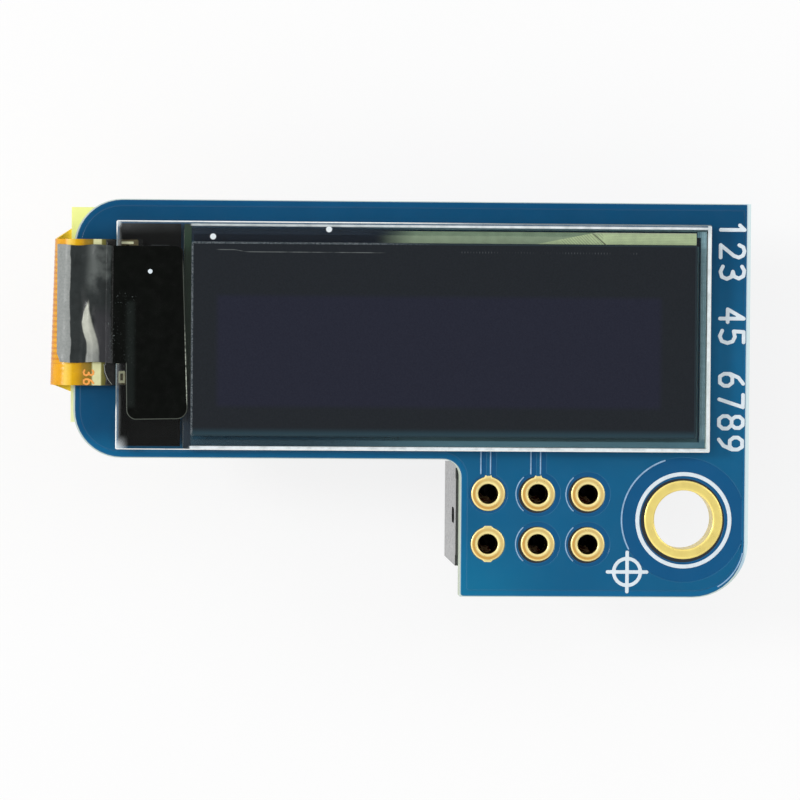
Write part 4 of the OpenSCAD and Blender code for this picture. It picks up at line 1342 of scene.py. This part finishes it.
def contact_material():
    """Gold-flashed spring strip; deep inside the cavities it is painted a dark brown shade with
    paler painted glints.
    """
    f = Finish("contact_strip")
    # painted shade deep in the cavities, with paler noise patches as painted glints
    deep = f.times(f.band(f.y, -2.45, 2.45, 0.1), f.rise(f.z, -6.6, -5.6))
    shade_and_glints = f.mix(f.rise(f.noise(0.16, 3), 0.56, 0.66), rgb(84, 36, 20), rgb(226, 128, 78))
    colour = f.mix(deep, f.varied(rgb(232, 190, 104), 0.08, 0.2), shade_and_glints)
    return f.surface(colour, 0.4, Metallic=f.mix_number(deep, 0.8, 0.2), Specular_IOR_Level=0.3)


def small_part_material(name, body, columns, ends):
    """A surface-mount part: a body between two tinned ends, which lie along X."""
    f = Finish(name)
    aways = [f.math("ABSOLUTE", f.minus(f.x, centre)) for centre in columns]
    away = f.math("MINIMUM", *aways) if len(aways) > 1 else aways[0]
    end = f.rise(away, ends - 0.02, ends + 0.02)
    colour = f.mix(end, f.varied(body, 0.12, 0.15), f.varied(TIN, 0.1, 0.15))
    return f.surface(colour, f.lumps(0.4, 0.1, 0.15), (0.06, 3, 0.006), Metallic=f.times(end, 0.8))


def flare_material():
    """Gold-flashed bronze, in pale and brown patches, the pale ones painted glints."""
    f = Finish("contact_flare")
    # painted glints: pale patches among the brown
    glint_patches = f.rise(f.noise(0.22, 3), 0.42, 0.6)
    return f.surface(f.mix(glint_patches, rgb(255, 224, 176), rgb(150, 64, 30)), 0.3, Metallic=0.1)


def make_flares():
    """The contacts' upper ends, which stand just under the pin holes and flare open for the pin."""
    turns = [math.radians(a) for a in range(135, 306, 10)]
    flares = Build()
    for x, y in PINS.values():
        grid = []
        for i in range(8):
            share = i / 7
            r, z = 0.62 - 0.36 * smooth(share, 0, 1), -0.12 - 0.95 * share
            grid.append([(x + r * math.cos(a), y + r * math.sin(a), z) for a in turns])
        flares.sheet(grid, 0.04)
    flares.piece("contact_flares", "contact_gold", [flare_material()], smooth=60)


make_flares()
dress(header_material(), "header_housing")
dress(contact_material(), *["header_contact_%d" % n for n in PINS])
dress(gold_material("back_lands"), "header_lands", "flex_lands", "chip_lands")
dress(plain("solder_joint", rgb(198, 200, 202), 0.1, 0.2, 0.3, 0.01, Metallic=0.85),
      "header_solder", "flex_solder", "chip_solder")
dress(small_part_material("tan_ceramic", rgb(160, 124, 92), CHIP_X, 0.5),
      *["capacitor_%d" % n for n in range(1, 7)])
dress(small_part_material("black_resistor", rgb(28, 28, 30), CHIP_X[1:], 0.5),
      *["resistor_%d" % n for n in range(1, 5)])


# ---------------------------------------------------------------- stage

FLOOR_Z = cad_lo[2] / MM - 0.01
FLOOR_HALF = 1500


def floor_material():
    """White paper, which glows to the camera and in reflections, but not under the header."""
    f = Finish("floor")
    paper = f.node("BsdfDiffuse", Color=f.varied(rgb(243, 243, 243), 0.004, 30))
    glow = f.node("Emission", Color=WHITE, Strength=1.0)
    rays = f.node("LightPath").outputs
    seen = f.most(rays["Is Camera Ray"], rays["Is Glossy Ray"], rays["Is Transmission Ray"])
    under = f.patch(HEAD_X0 + 0.25, HEAD_X1 - 0.25, HEAD_Y0 + 0.25, HEAD_Y1 - 0.25, 0.1)
    return f.done(f.blend(f.times(seen, f.minus(1, under), 0.8), paper, glow))


def make_stage():
    """The paper floor under the part."""
    mesh = bpy.data.meshes.new("floor")
    corners = [(-FLOOR_HALF, -FLOOR_HALF), (FLOOR_HALF, -FLOOR_HALF), (FLOOR_HALF, FLOOR_HALF),
               (-FLOOR_HALF, FLOOR_HALF)]
    mesh.from_pydata([Vector((x, y, FLOOR_Z)) * MM for x, y in corners], [], [[0, 1, 2, 3]])
    mesh.materials.append(floor_material())
    floor = bpy.data.objects.new("floor", mesh)
    bpy.context.scene.collection.objects.link(floor)


def lamp(name, toward, distance, size, watts):
    """A round lamp that faces the camera's aim, distance metres away and size metres across."""
    data = bpy.data.lights.new(name, "AREA")
    data.shape = "DISK"
    data.size = size
    data.energy = watts
    made = bpy.data.objects.new(name, data)
    bpy.context.scene.collection.objects.link(made)
    direction = Vector(toward).normalized()
    made.location = CAMERA_AIM * MM + direction * distance
    made.rotation_mode = "QUATERNION"
    made.rotation_quaternion = direction.to_track_quat("Z", "Y")


def make_world():
    """A white sky, brighter towards -X and dim overhead, which the camera sees as plain white."""
    world = bpy.data.worlds.new("studio")
    bpy.context.scene.world = world
    g = Graph(world)
    x, _, z = g.node("SeparateXYZ", Vector=g.node("TexCoord").outputs["Generated"]).outputs
    dome = g.times(g.rise(z, 0.5, 0.75, 0.5, 0.95), g.rise(z, 0.945, 0.975, 1.0, 0.2),
                   g.math("MULTIPLY_ADD", x, -0.7, 1.0))
    lit = g.node("Background", Color=WHITE, Strength=dome)
    white = g.node("Background", Color=WHITE, Strength=1.0)
    seen = g.node("LightPath").outputs["Is Camera Ray"]
    g.done(g.blend(seen, lit, white), "OutputWorld")


make_stage()
make_world()
lamp("key", (-1.0, 0.25, 0.95), 0.6, 0.14, 1.15)
lamp("fill", (1.0, 0.45, 0.85), 0.5, 0.3, 0.5)
bpy.context.scene.view_settings.view_transform = "Standard"
